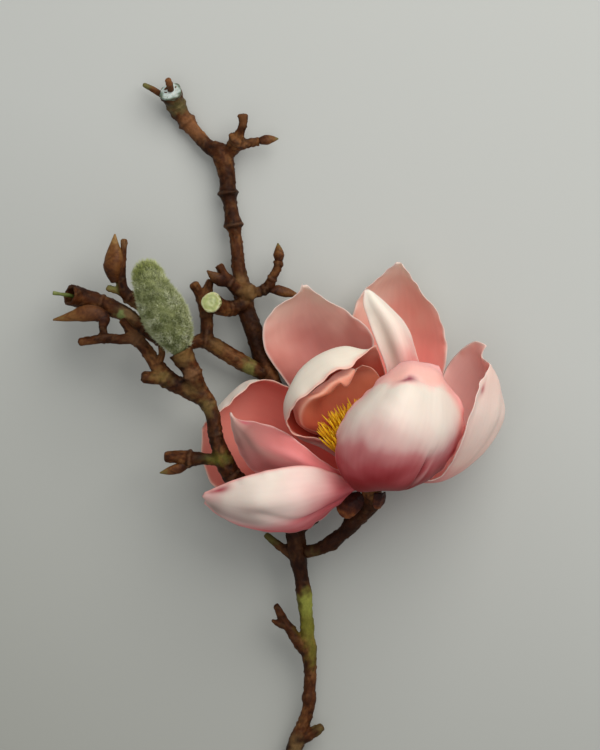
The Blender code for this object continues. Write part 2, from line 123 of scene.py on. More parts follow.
def window(name, place, size, power, colour):
    """Square area light aimed at the flower."""
    data = bpy.data.lights.new(name, "AREA")
    data.size = size
    data.energy = power
    data.color = colour
    lamp = bpy.data.objects.new(name, data)
    lamp.location = place
    aim = AIM - place
    aim /= np.linalg.norm(aim)
    lamp.rotation_euler = (math.acos(-aim[2]), 0, math.atan2(aim[1], aim[0]) - math.pi / 2)
    bpy.context.scene.collection.objects.link(lamp)


window("window_light", (0.34, 0.56, 0.74), 0.85, 7.4, (1.0, 0.985, 0.96))
window("fill_light", (-0.05, -0.15, 1.35), 0.9, 2.6, (1.0, 0.99, 0.97))

eye = bpy.data.objects.new("eye", bpy.data.cameras.new("eye"))
eye.data.lens = EYE_LENS
eye.data.sensor_width = EYE_FILM
eye.location = (0.009, 0.0425, EYE_HEIGHT)
bpy.context.scene.collection.objects.link(eye)
bpy.context.scene.camera = eye
bpy.context.scene.view_settings.view_transform = "Standard"

# --- Twigs ------------------------------------------------------------------------
# Five lengths of knobbly red-brown twig push into each other. Each is one moulded
# piece with its spurs, ringed by old bud scars, and lets green show at its sockets.
LIFT = np.array([0.0, 1.5, 0.0])
FULL_TURN = 2 * math.pi
CAP_ANGLES = (0.5, 1.0, 1.35)
CAP_RINGS = len(CAP_ANGLES)
LIMB_STEP, LIMB_SIDES, LIMB_GRAIN, BATCH = 0.7, 30, 40, 4000
SCAR_GAP, SCAR_HEIGHT, KNOB_HEIGHT = (6, 11), (0.06, 0.24), (0.1, 0.45)
TWIG_VOXEL, TWIG_RELAX, TWIG_FLOOR = 0.48, 3, 0.05
RIDGE, FINE_RIDGE, PIT, WART = 0.07, 0.04, 0.2, 0.7


def unit(v):
    """Vectors divided by their lengths."""
    return v / np.linalg.norm(v, axis=-1, keepdims=True)


def lengths_along(path):
    """Length of a path from its start to each of its points."""
    return np.concatenate([[0], np.cumsum(np.linalg.norm(np.diff(path[:, :3], axis=0), axis=1))])


def bend(points, step):
    """Smooth curve through rows of numbers, as cubic pieces whose slopes average the
    neighbouring chords, cut into even lengths of about step."""
    p = np.array(points, float)
    h = np.linalg.norm(np.diff(p[:, :3], axis=0), axis=1)
    knots = lengths_along(p)
    rise = np.diff(p, axis=0) / h[:, None]
    w = h[:, None]
    slope = np.vstack([rise[:1], (rise[:-1] * w[1:] + rise[1:] * w[:-1]) / (w[1:] + w[:-1]), rise[-1:]])
    t = np.linspace(0, knots[-1], 600)
    i = np.clip(np.searchsorted(knots, t, side="right") - 1, 0, len(h) - 1)
    s = ((t - knots[i]) / h[i])[:, None]
    g = h[i][:, None]
    fine = ((2 * s**3 - 3 * s**2 + 1) * p[i] + (s**3 - 2 * s**2 + s) * g * slope[i]
            + (3 * s**2 - 2 * s**3) * p[i + 1] + (s**3 - s**2) * g * slope[i + 1])
    run = lengths_along(fine)
    even = np.linspace(0, run[-1], max(int(round(run[-1] / step)) + 1, 3))
    return np.stack([np.interp(even, run, fine[:, k]) for k in range(p.shape[1])], axis=1)


def ripple(p, wavelength, seed):
    """Soft noise from -1 to 1: the scaled sum of 18 sine waves in random directions, for
    points in the last axis."""
    rng = np.random.default_rng(seed)
    way = unit(rng.normal(size=(18, p.shape[-1])))
    turn = FULL_TURN / (wavelength * rng.uniform(0.65, 1.5, 18))
    return np.clip(np.sin(p @ (way * turn[:, None]).T + rng.uniform(0, 6.28, 18)).sum(-1) / 4.5, -1, 1)


def frames(path):
    """Tangent, side and up vectors along a path: side is square to the tangent and a
    fixed leaning direction, and up completes the set."""
    t = unit(np.gradient(path[:, :3], axis=0))
    side = unit(np.cross(t, (0.13, -0.21, 0.97)))
    return t, side, np.cross(side, t)


def circles(path, sides):
    """Tangents of a path and unit circles square to it."""
    t, side, up = frames(path)
    phi = np.linspace(0, FULL_TURN, sides, endpoint=False)
    return t, np.cos(phi)[:, None] * side[:, None] + np.sin(phi)[:, None] * up[:, None]


def tube_faces(rows, sides, flip=False):
    """Faces of rows of closed rings between two poles: quads from ring to ring and a fan of
    triangles at each pole. flip turns them all round."""
    k = np.arange(sides)
    after = (k + 1) % sides
    ring = 1 + np.arange(rows - 1)[:, None] * sides
    quads = np.stack([ring + k, ring + after, ring + after + sides, ring + k + sides], -1).reshape(-1, 4)
    base = 1 + (rows - 1) * sides
    fans = np.vstack([np.stack([0 * k, 1 + after, 1 + k], -1),
                      np.stack([0 * k + base + sides, base + k, base + after], -1)])
    if flip:
        quads, fans = quads[:, [0, 3, 2, 1]], fans[:, [0, 2, 1]]
    return [*quads.tolist(), *fans.tolist()]


def rod_skin(path, radius, sides, blunt=0.35):
    """Closed rod: circles of the given radius (one value for each ring and side) carried
    along the path, with three shrinking rings and a centre point over each end."""
    t, ring = circles(path, sides)
    body = path[:, None, :3] + ring * radius[..., None]
    ends = []
    for end, way in ((0, -1), (-1, 1)):
        mean = radius[end].mean()
        for a in CAP_ANGLES:
            shrink = 1 - blunt * (1 - math.cos(a))
            ends.append(path[end, :3] + ring[end] * (radius[end] * shrink)[:, None]
                        + t[end] * way * mean * blunt * math.sin(a))
        ends.append((path[end, :3] + t[end] * way * mean * blunt)[None])
    points = np.vstack([*ends[3::-1], body.reshape(-1, 3), *ends[4:]])
    return points, tube_faces(len(path) + 2 * CAP_RINGS, sides)


def limb(path, seed, knobs=1.0, rings=()):
    """One twig: the path's radius, with faint scar rings 6 to 11 mm apart, strong ones at the
    given places, small knobs and a slow waver round and along it."""
    rng = np.random.default_rng(seed)
    way = bend(path, LIMB_STEP)
    s = np.arange(len(way)) * LIMB_STEP
    phi = np.linspace(0, FULL_TURN, LIMB_SIDES, endpoint=False)
    radius = np.repeat(way[:, 3:4], LIMB_SIDES, 1)
    place = 3.0 + rng.uniform(0, 4)
    while place < s[-1] - 1.5:
        height = rng.uniform(*SCAR_HEIGHT) * knobs
        lean = 0.9 * np.sin(phi + rng.uniform(0, 6.28))
        gap = s[:, None] - place - lean * 0.5
        radius += height * np.exp(-(gap / 0.55) ** 2) - 0.5 * height * np.exp(-((gap - 1.2) / 0.6) ** 2)
        angle, along = rng.uniform(0, 6.28), place + rng.uniform(-4, 4)
        turn = np.angle(np.exp(1j * (phi - angle)))[None] * way[:, 3:4]
        radius += rng.uniform(*KNOB_HEIGHT) * knobs * np.exp(
            -((s[:, None] - along) / 1.2) ** 2 - (turn / 1.1) ** 2)
        place += rng.uniform(*SCAR_GAP)
    for x, y, height in rings:
        far = np.hypot(way[:, 0] - x, way[:, 1] - y)
        if far.min() > 1.5:
            continue
        gap = s[:, None] - s[far.argmin()] - 0.35 * np.sin(phi + x)
        groove = np.exp(-((np.abs(gap) - 1.4) / 0.5) ** 2)
        radius += height * (1.25 * np.exp(-(gap / 0.5) ** 2) - 0.4 * groove)
    round_way = np.stack(np.broadcast_arrays(s[:, None] / 6, 1.2 * np.cos(phi), 1.2 * np.sin(phi)), -1)
    radius *= 1 + 0.035 * ripple(round_way, 2.2, seed + 50)
    return way, rod_skin(way, radius, LIMB_SIDES, 0.5)


def open_end(way, skin, deep, wide):
    """Limb skin with its far cap turned inward: the last ring is followed by rings of the
    bore's radius that run back down the path to a flat floor."""
    _, ring = circles(way, LIMB_SIDES)
    rows = CAP_RINGS + len(way)
    back = np.arange(len(way) - 1, len(way) - 1 - int(deep / LIMB_STEP), -1)
    wall = way[back, None, :3] + ring[back] * np.minimum(wide, way[back, 3:4] - 0.9)[..., None]
    points = np.vstack([skin[0][:1 + LIMB_SIDES * rows], wall.reshape(-1, 3), way[back[-1], None, :3]])
    return points, tube_faces(rows + len(back), LIMB_SIDES)


def merge_skins(skins):
    """Points and faces of several skins as one list."""
    points, faces, count = [], [], 0
    for p, f in skins:
        points.append(p)
        faces += [[k + count for k in face] for face in f]
        count += len(p)
    return np.vstack(points), faces


def mesh_arrays(mesh):
    """Vertex positions and normals of a mesh, in millimetres and unit lengths."""
    p = np.empty(len(mesh.vertices) * 3, np.float32)
    n = np.empty(len(mesh.vertices) * 3, np.float32)
    mesh.vertices.foreach_get("co", p)
    mesh.vertex_normals.foreach_get("vector", n)
    return p.reshape(-1, 3).astype(float) / MM, n.reshape(-1, 3).astype(float)


def lay_paint(mesh, rgb):
    """Paint attribute: a linear colour for each point."""
    layer = mesh.attributes.new("paint", "FLOAT_COLOR", "POINT")
    layer.data.foreach_set("color", np.hstack([rgb, np.ones((len(rgb), 1))]).astype(np.float32).ravel())


def lay_grain(mesh, rows):
    """Grain attribute: for each point, the place in its finish, along and across the piece."""
    layer = mesh.attributes.new("grain", "FLOAT_VECTOR", "POINT")
    layer.data.foreach_set("vector", rows.astype(np.float32).ravel())


def stands_for(obj, node):
    """Rides the piece on the branch in place of a CAD node, and hides that node."""
    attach(obj, "root")
    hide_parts(node)


def weld_limbs(name, skins):
    """Joins closed skins into one: fills them with small cells, takes the outer surface
    and relaxes it, which rounds the crotches."""
    points, faces = merge_skins(skins)
    obj = plain_mesh(name, (points + LIFT) * MM, faces)
    cells = obj.modifiers.new("cells", "REMESH")
    cells.mode = "VOXEL"
    cells.voxel_size = TWIG_VOXEL * MM
    relax = obj.modifiers.new("relax", "SMOOTH")
    relax.factor = 0.5
    relax.iterations = TWIG_RELAX
    graph = bpy.context.evaluated_depsgraph_get()
    mesh = bpy.data.meshes.new_from_object(obj.evaluated_get(graph))
    obj.modifiers.clear()
    obj.data = mesh
    mesh.shade_smooth()
    return obj


def grain_of(p, ways):
    """For each point the length along its nearest limb and its place round it, from the
    limb sample with the least distance over radius."""
    table = np.vstack([np.hstack([w, np.full((len(w), 1), k), np.arange(len(w))[:, None] * LIMB_STEP])
                       for k, w in enumerate(ways)])
    axes = [np.vstack(part) for part in zip(*[frames(w) for w in ways])]
    near = np.empty(len(p), int)
    for start in range(0, len(p), BATCH):
        part = p[start:start + BATCH]
        gap = np.linalg.norm(part[:, None] - table[None, :, :3], axis=2) / (table[None, :, 3] + 0.6)
        near[start:start + BATCH] = gap.argmin(1)
    off = p - table[near, :3]
    a = (off * axes[1][near]).sum(1)
    b = (off * axes[2][near]).sum(1)
    size = np.hypot(a, b) + 1e-6
    return np.stack([table[near, 5] + LIMB_GRAIN * table[near, 4], a / size, b / size], 1)


BARK_DARK, BARK_MID, BARK_LIGHT = linear(30, 11, 3), linear(74, 38, 15), linear(134, 90, 50)


def bark_piece(node, paths, seed, patches=(), knobs=1.0, rings=(), bore=None):
    """Twig with its spurs: welded limbs, long low ridges and pits cut along the grain, and
    colour from the ridges, slow mottling and soft round patches (place, reach, colour, strength).
    Pits and the grooves beside scar rings are darkened as painted shade, the rings' raised lips
    are lightened as a painted highlight, and some listed patches are painted shade and light."""
    grown = [limb(path, seed * 17 + k, knobs, rings) for k, path in enumerate(paths)]
    skins = [skin for _, skin in grown]
    if bore:
        limb_at, deep, wide = bore
        skins[limb_at] = open_end(grown[limb_at][0], skins[limb_at], deep, wide)
    obj = weld_limbs(node + "_bark", skins)
    mesh = obj.data
    p, n = mesh_arrays(mesh)
    p -= LIFT
    grain = grain_of(p, [way for way, _ in grown])
    ridge = ripple(grain * [0.16, 1.5, 1.5], 0.9, seed + 1)
    fine = ripple(grain * [0.6, 3.0, 3.0], 1.1, seed + 2)
    pits = np.clip(ripple(p, 2.6, seed + 3) - 0.55, 0, 1)
    warts = np.clip(ripple(p, 3.4, seed + 6) - 0.62, 0, 1)
    height = RIDGE * ridge + FINE_RIDGE * fine - PIT * pits + WART * warts
    moved = (p + n * height[:, None] + LIFT) * MM
    moved[:, 2] = np.maximum(moved[:, 2], TWIG_FLOOR * MM)
    mesh.vertices.foreach_set("co", moved.astype(np.float32).ravel())
    mesh.update()
    mix = np.clip(0.42 + 0.23 * ripple(p, 15, seed + 4) + 0.10 * ripple(p, 5.0, seed + 5)
                  + 0.10 * ridge + 0.06 * fine, 0, 1)[:, None]
    rgb = np.where(mix < 0.5, BARK_DARK + (BARK_MID - BARK_DARK) * mix * 2,
                   BARK_MID + (BARK_LIGHT - BARK_MID) * (mix * 2 - 1))
    # Pits are painted darker: painted shade in the hollows.
    rgb = rgb * (1 - 0.4 * np.clip(pits * 3, 0, 1))[:, None]
    rgb = rgb + (linear(104, 74, 44) - rgb) * np.clip(warts * 1.2, 0, 0.2)[:, None]
    # Beside each scar ring the groove is painted darker, as painted shade, and the raised lip lighter, as a
    # painted highlight.
    for x, y, lip in rings:
        way = min((way for way, _ in grown), key=lambda w: np.hypot(w[:, 0] - x, w[:, 1] - y).min())
        k = min(max(np.hypot(way[:, 0] - x, way[:, 1] - y).argmin(), 1), len(way) - 2)
        gap = (p - way[k, :3]) @ unit(way[k + 1, :3] - way[k - 1, :3]) + 0.30 * ripple(p, 4, seed + 7)
        on = (np.linalg.norm(p - way[k, :3], axis=1) < way[k, 3] + 2.2) * min(1, lip / 0.6)
        rgb = rgb * (1 - 0.5 * on * np.exp(-((np.abs(gap) - 1.15) / 0.45) ** 2))[:, None]
        rgb = rgb + (linear(112, 84, 62) - rgb) * (0.32 * on * np.exp(-(gap / 0.6) ** 2))[:, None]
    for place, reach, colour, strength in patches:
        soft = p + 1.0 * np.stack([ripple(p, 3.5, seed + 9 + k) for k in range(3)], 1)
        far = np.linalg.norm((soft - place) / reach, axis=1)
        cover = (strength * np.clip(1.6 - far, 0, 1) ** 1.5)[:, None]
        rgb = rgb * (1 - cover) + linear(*colour) * cover * (0.8 + 0.35 * mix)
    lay_paint(mesh, rgb)
    lay_grain(mesh, grain * [1.0, 3.0, 3.0])
    mesh.materials.append(bark)
    stands_for(obj, node)


speckle = bpy.data.node_groups.new("speckle", "ShaderNodeTree")
for name, way, kind in (
        ("Paint", "INPUT", "Color"), ("Vector", "INPUT", "Vector"), ("Scale", "INPUT", "Float"),
        ("Depth", "INPUT", "Float"), ("Colour", "OUTPUT", "Color"), ("Height", "OUTPUT", "Float")):
    speckle.interface.new_socket(name, in_out=way, socket_type="NodeSocket" + kind)
came = speckle.nodes.new("NodeGroupInput")
gone = speckle.nodes.new("NodeGroupOutput")
grit = add_node(speckle, "TexNoise", {"Detail": 6.0, "Roughness": 0.62})
stretch = add_node(speckle, "MapRange", {"From Min": 0.25, "From Max": 0.75})
low = add_node(speckle, "Math", {0: 1.0}, operation="SUBTRACT")
high = add_node(speckle, "Math", {0: 1.0}, operation="ADD")
tint = add_node(speckle, "VectorMath", operation="SCALE")
wire_up(speckle, (came.outputs["Vector"], grit.inputs["Vector"]), (came.outputs["Scale"], grit.inputs["Scale"]),
        (grit.outputs["Fac"], stretch.inputs["Value"]), (came.outputs["Depth"], low.inputs[1]),
        (came.outputs["Depth"], high.inputs[1]), (low.outputs[0], stretch.inputs["To Min"]),
        (high.outputs[0], stretch.inputs["To Max"]), (came.outputs["Paint"], tint.inputs[0]),
        (stretch.outputs["Result"], tint.inputs["Scale"]), (tint.outputs["Vector"], gone.inputs["Colour"]),
        (grit.outputs["Fac"], gone.inputs["Height"]))


def painted(name, roughness, scale, depth, bump, coords="Object", subsurface=0.0, gloss=0.3, sheen=0.0):
    """Finish that reads the piece's paint attribute and speckles it to the given depth, with
    a bump of (strength, height in mm) from the same grit."""
    material, tree, shader = new_material(name, {
        "Roughness": roughness, "Subsurface Weight": subsurface, "Subsurface Radius": (1.0, 0.4, 0.3),
        "Subsurface Scale": 0.003, "Specular IOR Level": gloss, "Sheen Weight": sheen})
    paint = add_node(tree, "Attribute", attribute_name="paint")
    if coords == "Object":
        vector = add_node(tree, "TexCoord").outputs["Object"]
    else:
        vector = add_node(tree, "Attribute", attribute_name=coords).outputs["Vector"]
    spots = add_node(tree, "Group", {"Scale": scale, "Depth": depth}, node_tree=speckle)
    relief = add_node(tree, "Bump", {"Strength": bump[0], "Distance": bump[1] * MM})
    wire_up(tree, (paint.outputs["Color"], spots.inputs["Paint"]), (vector, spots.inputs["Vector"]),
            (spots.outputs["Colour"], shader.inputs["Base Color"]),
            (spots.outputs["Height"], relief.inputs["Height"]),
            (relief.outputs["Normal"], shader.inputs["Normal"]))
    return material


bark = painted("bark", 0.52, 1.6, 0.26, (0.6, 0.3), coords="grain", gloss=0.10)
GREEN = (112, 108, 40)
LEAF_GREEN = (140, 142, 62)

bark_piece("main_stem", [
    [(0, -174, 3.6, 3.4), (2.5, -147, 5, 3.3), (4.5, -131.5, 7, 3.3), (7.5, -121, 8.5, 3.6),
     (11.5, -110, 10, 2.8), (13, -104, 10.8, 2.8), (13.1, -101.5, 11, 3.3), (13.3, -99, 11.2, 2.8),
     (13.5, -92, 12, 2.7), (13.2, -85, 13.2, 3.0), (12.8, -79, 14, 3.6), (12.2, -74, 14.5, 3.2),
     (12, -69, 15, 3.0), (11.2, -60, 15.9, 3.1), (10.7, -54.5, 16.4, 3.6), (10.2, -51, 16.7, 3.3),
     (9.5, -47, 17, 3.1), (8.5, -41, 18, 3.7), (7.5, -35.5, 19, 4.2), (7, -29, 20, 4.2), (6, -24.4, 19, 4.1)],
    [(12, -81, 13.5, 2.7), (7.5, -75.5, 15, 2.4), (5, -71, 15.5, 2.4), (2, -67, 16, 1.9),
     (0, -63, 16.5, 1.8), (-1.4, -60, 17, 1.3)],
    [(4, -69.5, 15.8, 1.5), (-0.5, -68, 16, 1.6), (-3.2, -66.7, 16, 0.7)],
    [(9, -120, 9, 2.8), (15, -116.5, 10, 2.4), (18.2, -114.3, 10.5, 2.1)],
    [(7, -39, 18.5, 2.4), (1, -34.5, 17.5, 2.0), (-3, -31.5, 17, 1.7), (-5.8, -29.2, 16.5, 1.4)],
    [(9, -27.5, 20, 1.8), (13, -25, 20.5, 1.1), (17, -22.8, 21, 0.5)]], 3,
    [((9, -34, 16), (10, 15, 24), (28, 9, 3), 0.7),
     ((12.8, -67, 16), (4.6, 8.5, 8), GREEN, 0.95), ((12.2, -59, 17), (4, 5.5, 8), LEAF_GREEN, 0.9),
     ((14.5, -80, 15), (2.6, 7, 6), GREEN, 0.6), ((17, -114, 10), (3, 3, 3), (120, 105, 60), 0.6),
     ((-4, -30, 17), (4, 4, 4), (96, 92, 44), 0.7), ((4, -150, 7), (3, 12, 4), (110, 86, 48), 0.5),
     ((7.5, -124, 10), (3, 6, 4), (150, 118, 74), 0.5)])
bark_piece("upper_branch", [
    [(5.9, -22.6, 18.2, 3.6), (4.5, -19, 16.2, 4.0), (2.5, -5, 11, 4.1), (-0.5, 17, 9, 4.1),
     (-4.3, 40, 9, 4.2), (-8.8, 52, 9, 4.0), (-12.2, 63, 9, 3.9), (-15, 70.5, 9, 3.9), (-16, 77.5, 9, 4.5),
     (-17, 82.5, 8.8, 3.6), (-18, 87.5, 8.5, 3.1), (-19, 98.5, 8.5, 2.8), (-19.7, 104, 8.5, 2.8),
     (-20.2, 106.5, 8.5, 3.7), (-20.6, 108.2, 8.5, 4.1), (-20.9, 110, 8.3, 3.5), (-21.5, 114, 8, 3.2),
     (-22.3, 119, 8, 3.5), (-22.7, 121.5, 8, 4.3), (-22.8, 123.5, 8, 3.7), (-23, 127, 8, 3.6),
     (-24, 132, 7.6, 4.0), (-25, 136.5, 7.3, 4.5), (-26.5, 139.5, 7, 4.1), (-31, 141.8, 6.3, 3.2),
     (-36, 147, 5.2, 3.0), (-39.5, 151.2, 4.5, 3.3), (-41.2, 153.3, 4.2, 4.1), (-42.6, 155, 4.4, 3.5),
     (-45, 158.5, 5, 4.1), (-47, 163, 8, 4.6), (-47.6, 164.6, 10.4, 5.2)],
    [(-46, 161.5, 6.5, 1.9), (-51, 164.2, 7.2, 1.4), (-56.5, 167.5, 7.8, 1.4), (-60, 169.3, 8, 1.0)],
    [(-25, 136.5, 7.5, 3.0), (-21, 141, 9, 3.3), (-18.5, 144, 11, 4.1)],
    [(-18.5, 144, 10.5, 2.8), (-17.5, 147.5, 13, 2.1), (-16, 152, 15, 1.9), (-16, 154.6, 15.5, 2.3)],
    [(-19, 142, 9.5, 2.7), (-13, 143.5, 10, 1.9), (-9.8, 144, 10, 2.0)],
    [(-17, 77, 10, 3.5), (-13.5, 77.5, 12.5, 4.2), (-12.5, 77.5, 13.6, 3.5)],
    [(-13, 77, 11, 2.7), (-8, 78, 11, 2.3), (-5, 79.5, 11, 2.5), (-3.5, 83, 12, 2.1),
     (-1, 88, 13, 1.9), (-0.3, 90.6, 13.4, 2.0)],
    [(-17, 77.5, 11, 3.4), (-19.5, 79.5, 13, 3.0), (-22.5, 82.5, 15, 2.5), (-25, 86, 16, 2.1),
     (-26, 88.5, 16.5, 2.0)],
    [(-15.5, 72.5, 11, 3.4), (-20, 70.5, 14, 3.4), (-24.5, 70.3, 18, 3.6), (-28, 71.8, 22, 4.2),
     (-28.9, 72.2, 23.7, 4.5)]], 5,
    [((-13, 77.5, 16), (4.2, 4.2, 4), (132, 98, 58), 0.8), ((-45, 160, 8), (5, 3.5, 6), (118, 112, 70), 0.55),
     # The near-black patches at (-21, 124) and (-12, 60) are painted shade, and the light patch at (-38, 150) is
     # painted light.
     ((-21, 124, 12), (6, 9, 20), (30, 10, 3), 0.6), ((-12, 60, 14), (7, 15, 20), (26, 9, 3), 0.65),
     ((-38, 150, 10), (6, 6, 8), (150, 100, 62), 0.5),
     ((-17, 83, 12), (3, 3, 3), (120, 88, 52), 0.6), ((-16, 153, 17), (3, 3, 3), (128, 84, 50), 0.5),
     ((-60, 169, 8), (3, 3, 3), (112, 110, 62), 0.8)],
    rings=[(-22.8, 121.5, 0.7), (-20.4, 107.3, 0.7), (-17, 83, 0.3), (-18.4, 144.4, 0.6), (-41, 153, 0.4),
           (-45.8, 160.4, 0.35), (-7, 78.4, 0.5), (-3.3, 83.6, 0.4), (-22, 82, 0.4), (-0.5, 89.6, 0.35),
           (-22.5, 70.4, 0.35), (-12, 143.6, 0.35)])
bark_piece("middle_twig", [
    [(-7.2, 41.6, 10.4, 3.1), (-9.5, 43, 11, 3.3), (-17.5, 47, 12, 3.6), (-24, 51, 13, 3.6),
    (-29, 54, 14, 3.5), (-33.5, 56, 15, 3.1), (-38.5, 55, 16, 2.8), (-46, 56, 17, 2.9),
    (-52.5, 57, 18, 3.0), (-59, 61, 19, 3.1), (-67.5, 67.5, 20, 3.5), (-75, 71, 20.5, 3.8),
    (-83, 73.8, 21, 4.2), (-87.6, 74.9, 22.3, 4.6), (-91.4, 75.9, 24.9, 4.8)],
    [(-32, 55.5, 14.5, 2.9), (-32, 61, 13.5, 2.8), (-32.2, 67, 12.5, 2.9), (-33.7, 72.5, 12.5, 2.5),
     (-35.7, 77.5, 14, 2.2), (-37.5, 80.6, 15, 2.3)],
    [(-33.5, 73, 12.8, 2.1), (-31.5, 79, 13.3, 2.1), (-30.5, 82.2, 14, 1.7)],
    [(-52, 57.5, 18.2, 2.7), (-56.5, 66, 20.5, 2.7), (-60, 71, 21.5, 2.7), (-65, 74.5, 22, 2.8),
     (-68, 78, 22.5, 2.5), (-69, 83.5, 23, 2.3), (-68.7, 89.5, 24, 1.9)],
    [(-68.8, 86, 23.6, 1.8), (-67.8, 94.5, 25, 1.3), (-67.7, 99.6, 25, 1.5)],
    [(-66, 75.5, 22, 1.9), (-70.5, 77.5, 22, 1.5), (-74.7, 79, 22, 1.5)]], 7,
    [((-13.5, 43.5, 13), (2.6, 4.5, 5), (118, 116, 62), 0.75),
     ((-69.4, 67.4, 23.5), (1.5, 1.5, 2.5), (110, 150, 84), 1.0),
     ((-73, 79, 22), (3.5, 3, 3), (120, 120, 66), 0.8),
     ((-68, 98, 25), (2.5, 3, 3), (138, 104, 66), 0.5), ((-66, 68, 24), (5, 4, 4), (150, 122, 82), 0.5),
     ((-27, 54, 17), (4, 4, 3), (126, 92, 50), 0.6)], bore=(0, 9, 3.4),
    rings=[(-33, 56.2, 0.5), (-52.5, 57, 0.4), (-60, 61.6, 0.5), (-66, 74.8, 0.4), (-32.2, 67, 0.4),
           (-78, 72.2, 0.4)])

# The left branch and the flower stalk leave the same fork. The branch carries a flared
# cup that holds the furry bud, and the stalk is jointed like a knuckle below the bloom.
CUP = [(-34.5, 34, 34.5, 3.8), (-35.4, 36.8, 35.6, 3.6), (-36.5, 39.5, 36.5, 3.9), (-37.2, 41.2, 36.9, 4.3),
       (-38.2, 43.4, 37.2, 3.9), (-39.6, 46, 37.5, 4.3), (-41.3, 49, 37.9, 4.9), (-42.5, 51.2, 38.1, 5.7)]
bark_piece("left_branch", [
    [(3.2, -22.6, 22.4, 3.6), (-2, -18, 27, 3.7), (-12, -9.5, 33, 3.7), (-17, -5, 34.8, 3.7),
     (-20.5, -2, 36, 4.1), (-22.6, 2, 36.6, 4.0), (-24.5, 6.5, 37, 3.6), (-27.5, 15, 37, 3.2),
     (-28.5, 22.5, 36, 3.2), (-31, 29, 35, 3.7), (-35.5, 33.5, 34, 4.5), (-42, 36, 33, 3.8),
     (-49.5, 40, 32, 4.1), (-53, 45, 31, 3.3), (-56, 49.5, 30, 2.8), (-59, 53.5, 29, 2.8),
     (-62, 56.5, 28.5, 2.9), (-69, 56.5, 28, 2.2), (-76, 57, 27.5, 2.3), (-81.5, 56, 27, 1.8),
     (-86.4, 55.5, 26.5, 1.9)],
    CUP,
    [(-50, 40, 31.5, 3.1), (-55.5, 39.8, 34, 2.7), (-58, 40, 34.9, 2.7)],
    [(-61.5, 56, 28.5, 2.5), (-65, 60.5, 27, 2.1), (-68.2, 64.6, 26.1, 1.7)],
    [(-76, 57, 27.5, 2.0), (-76.6, 60.5, 27, 1.8), (-76.8, 62.2, 27, 2.0)],
    [(-22.5, 3, 36.5, 2.8), (-30, 4.8, 36, 2.4), (-36.3, 4.8, 36, 3.1), (-38.5, 4.8, 36, 3.8),
     (-42.8, 5.6, 36, 3.0), (-48.4, 5.6, 36, 2.5)],
    [(-52.5, 45.5, 32, 1.6), (-50.8, 50, 33.5, 1.5), (-51.8, 54.4, 34, 0.8)]], 11,
    [((-27, 5, 39), (6, 3, 3.5), (98, 94, 36), 0.8), ((-33, 14, 36), (6, 12, 20), (36, 18, 8), 0.6),
     ((-31, 27, 38), (3, 4, 3), (130, 108, 60), 0.5),
     ((-41, 49, 42), (4.5, 3.4, 4), (122, 92, 50), 0.75), ((-38, 41, 41), (3.5, 3, 4), (128, 90, 58), 0.6),
     ((-51, 40, 35), (4, 3, 4), (126, 104, 56), 0.55), ((-62, 57, 30), (5, 4, 4), (120, 84, 54), 0.5),
     ((-37, 35, 37), (4, 4, 3), (118, 92, 52), 0.5)], knobs=0.8, bore=(1, 1.6, 5.0),
    rings=[(-20.5, -2, 0.4), (-27.5, 15, 0.4), (-30.5, 28, 0.5), (-37.2, 41.2, 0.5), (-48.5, 39.4, 0.5),
           (-61, 56, 0.4), (-38.5, 4.8, 0.5), (-76, 57, 0.4)])
bark_piece("flower_stalk", [
    [(12.2, -36.2, 20.4, 2.9), (17, -35, 22, 2.8), (20, -33.6, 23.4, 3.0), (23.5, -31.3, 25, 3.5),
     (26, -29.3, 26.2, 3.0), (28.5, -27, 27.5, 3.0), (32, -23, 30, 3.8), (34.2, -21.2, 31.3, 3.2),
     (36, -19.5, 32.5, 3.2), (39.2, -15.5, 35, 3.7), (40.4, -11.5, 38, 4.1), (39.2, -7.4, 40.8, 4.3)]], 13,
    [((24, -31, 26), (20, 18, 26), (32, 11, 4), 0.6), ((15, -36, 22), (2.5, 3, 3), (80, 66, 32), 0.5)],
    knobs=0.9)

# --- Peg, glue, cut stub and wire ------------------------------------------------
# The top end and the middle twig were cut: white glue seals the first round a snapped
# peg, pale green plastic shows on the stub, and a green wire runs out of the hollow twig.


def rod_piece(name, path, radius, sides, material, node, blunt=0.35):
    """Closed rod with its grain attribute: rings of the given radius (a function of length
    and angle) carried along the path. Gives the piece, and each point's length and angle."""
    phi = np.linspace(0, FULL_TURN, sides, endpoint=False)
    s = lengths_along(path)
    points, faces = rod_skin(path, radius(s[:, None], phi[None]), sides, blunt)
    obj = plain_mesh(name, (points + LIFT) * MM, faces)
    cap = 1 + CAP_RINGS * sides
    along = np.concatenate([[s[0]] * cap, np.repeat(s, sides), [s[-1]] * cap])
    around = np.concatenate([[0], np.tile(phi, len(path) + 2 * CAP_RINGS), [0]])
    lay_grain(obj.data, np.stack([along, 3 * np.cos(around), 3 * np.sin(around)], 1))
    obj.data.materials.append(material)
    stands_for(obj, node)
    return obj, along, around


def gradient(x, stops):
    """Linear colour along x through stops of a place and a display colour."""
    table = np.array(stops, float)
    return np.stack([np.interp(x, table[:, 0], shade) for shade in linear(*table[:, 1:].T)], -1)


peg_way = bend([(-47.9, 166.5, 13.2, 1.5), (-48.2, 168.2, 15, 1.35), (-48.8, 170.4, 16.9, 1.45)], 0.25)


def peg_radius(s, phi):
    """A three-sided waver with one ring near the top."""
    return 1.42 + 0.10 * np.sin(3 * phi + s) + 0.22 * np.exp(-((s - 3.2) / 0.6) ** 2)


peg, along, _ = rod_piece("top_peg_bark", peg_way, peg_radius, 20, bark, "top_peg")
lay_paint(peg.data, gradient(along, [(0, 70, 44, 24), (3.0, 92, 56, 32), (4.6, 120, 76, 44)]))

glue = painted("glue", 0.30, 900, 0.16, (0.5, 0.3), subsurface=0.1)
face_axis = unit(np.array([-0.6, 1.8, 2.6]))


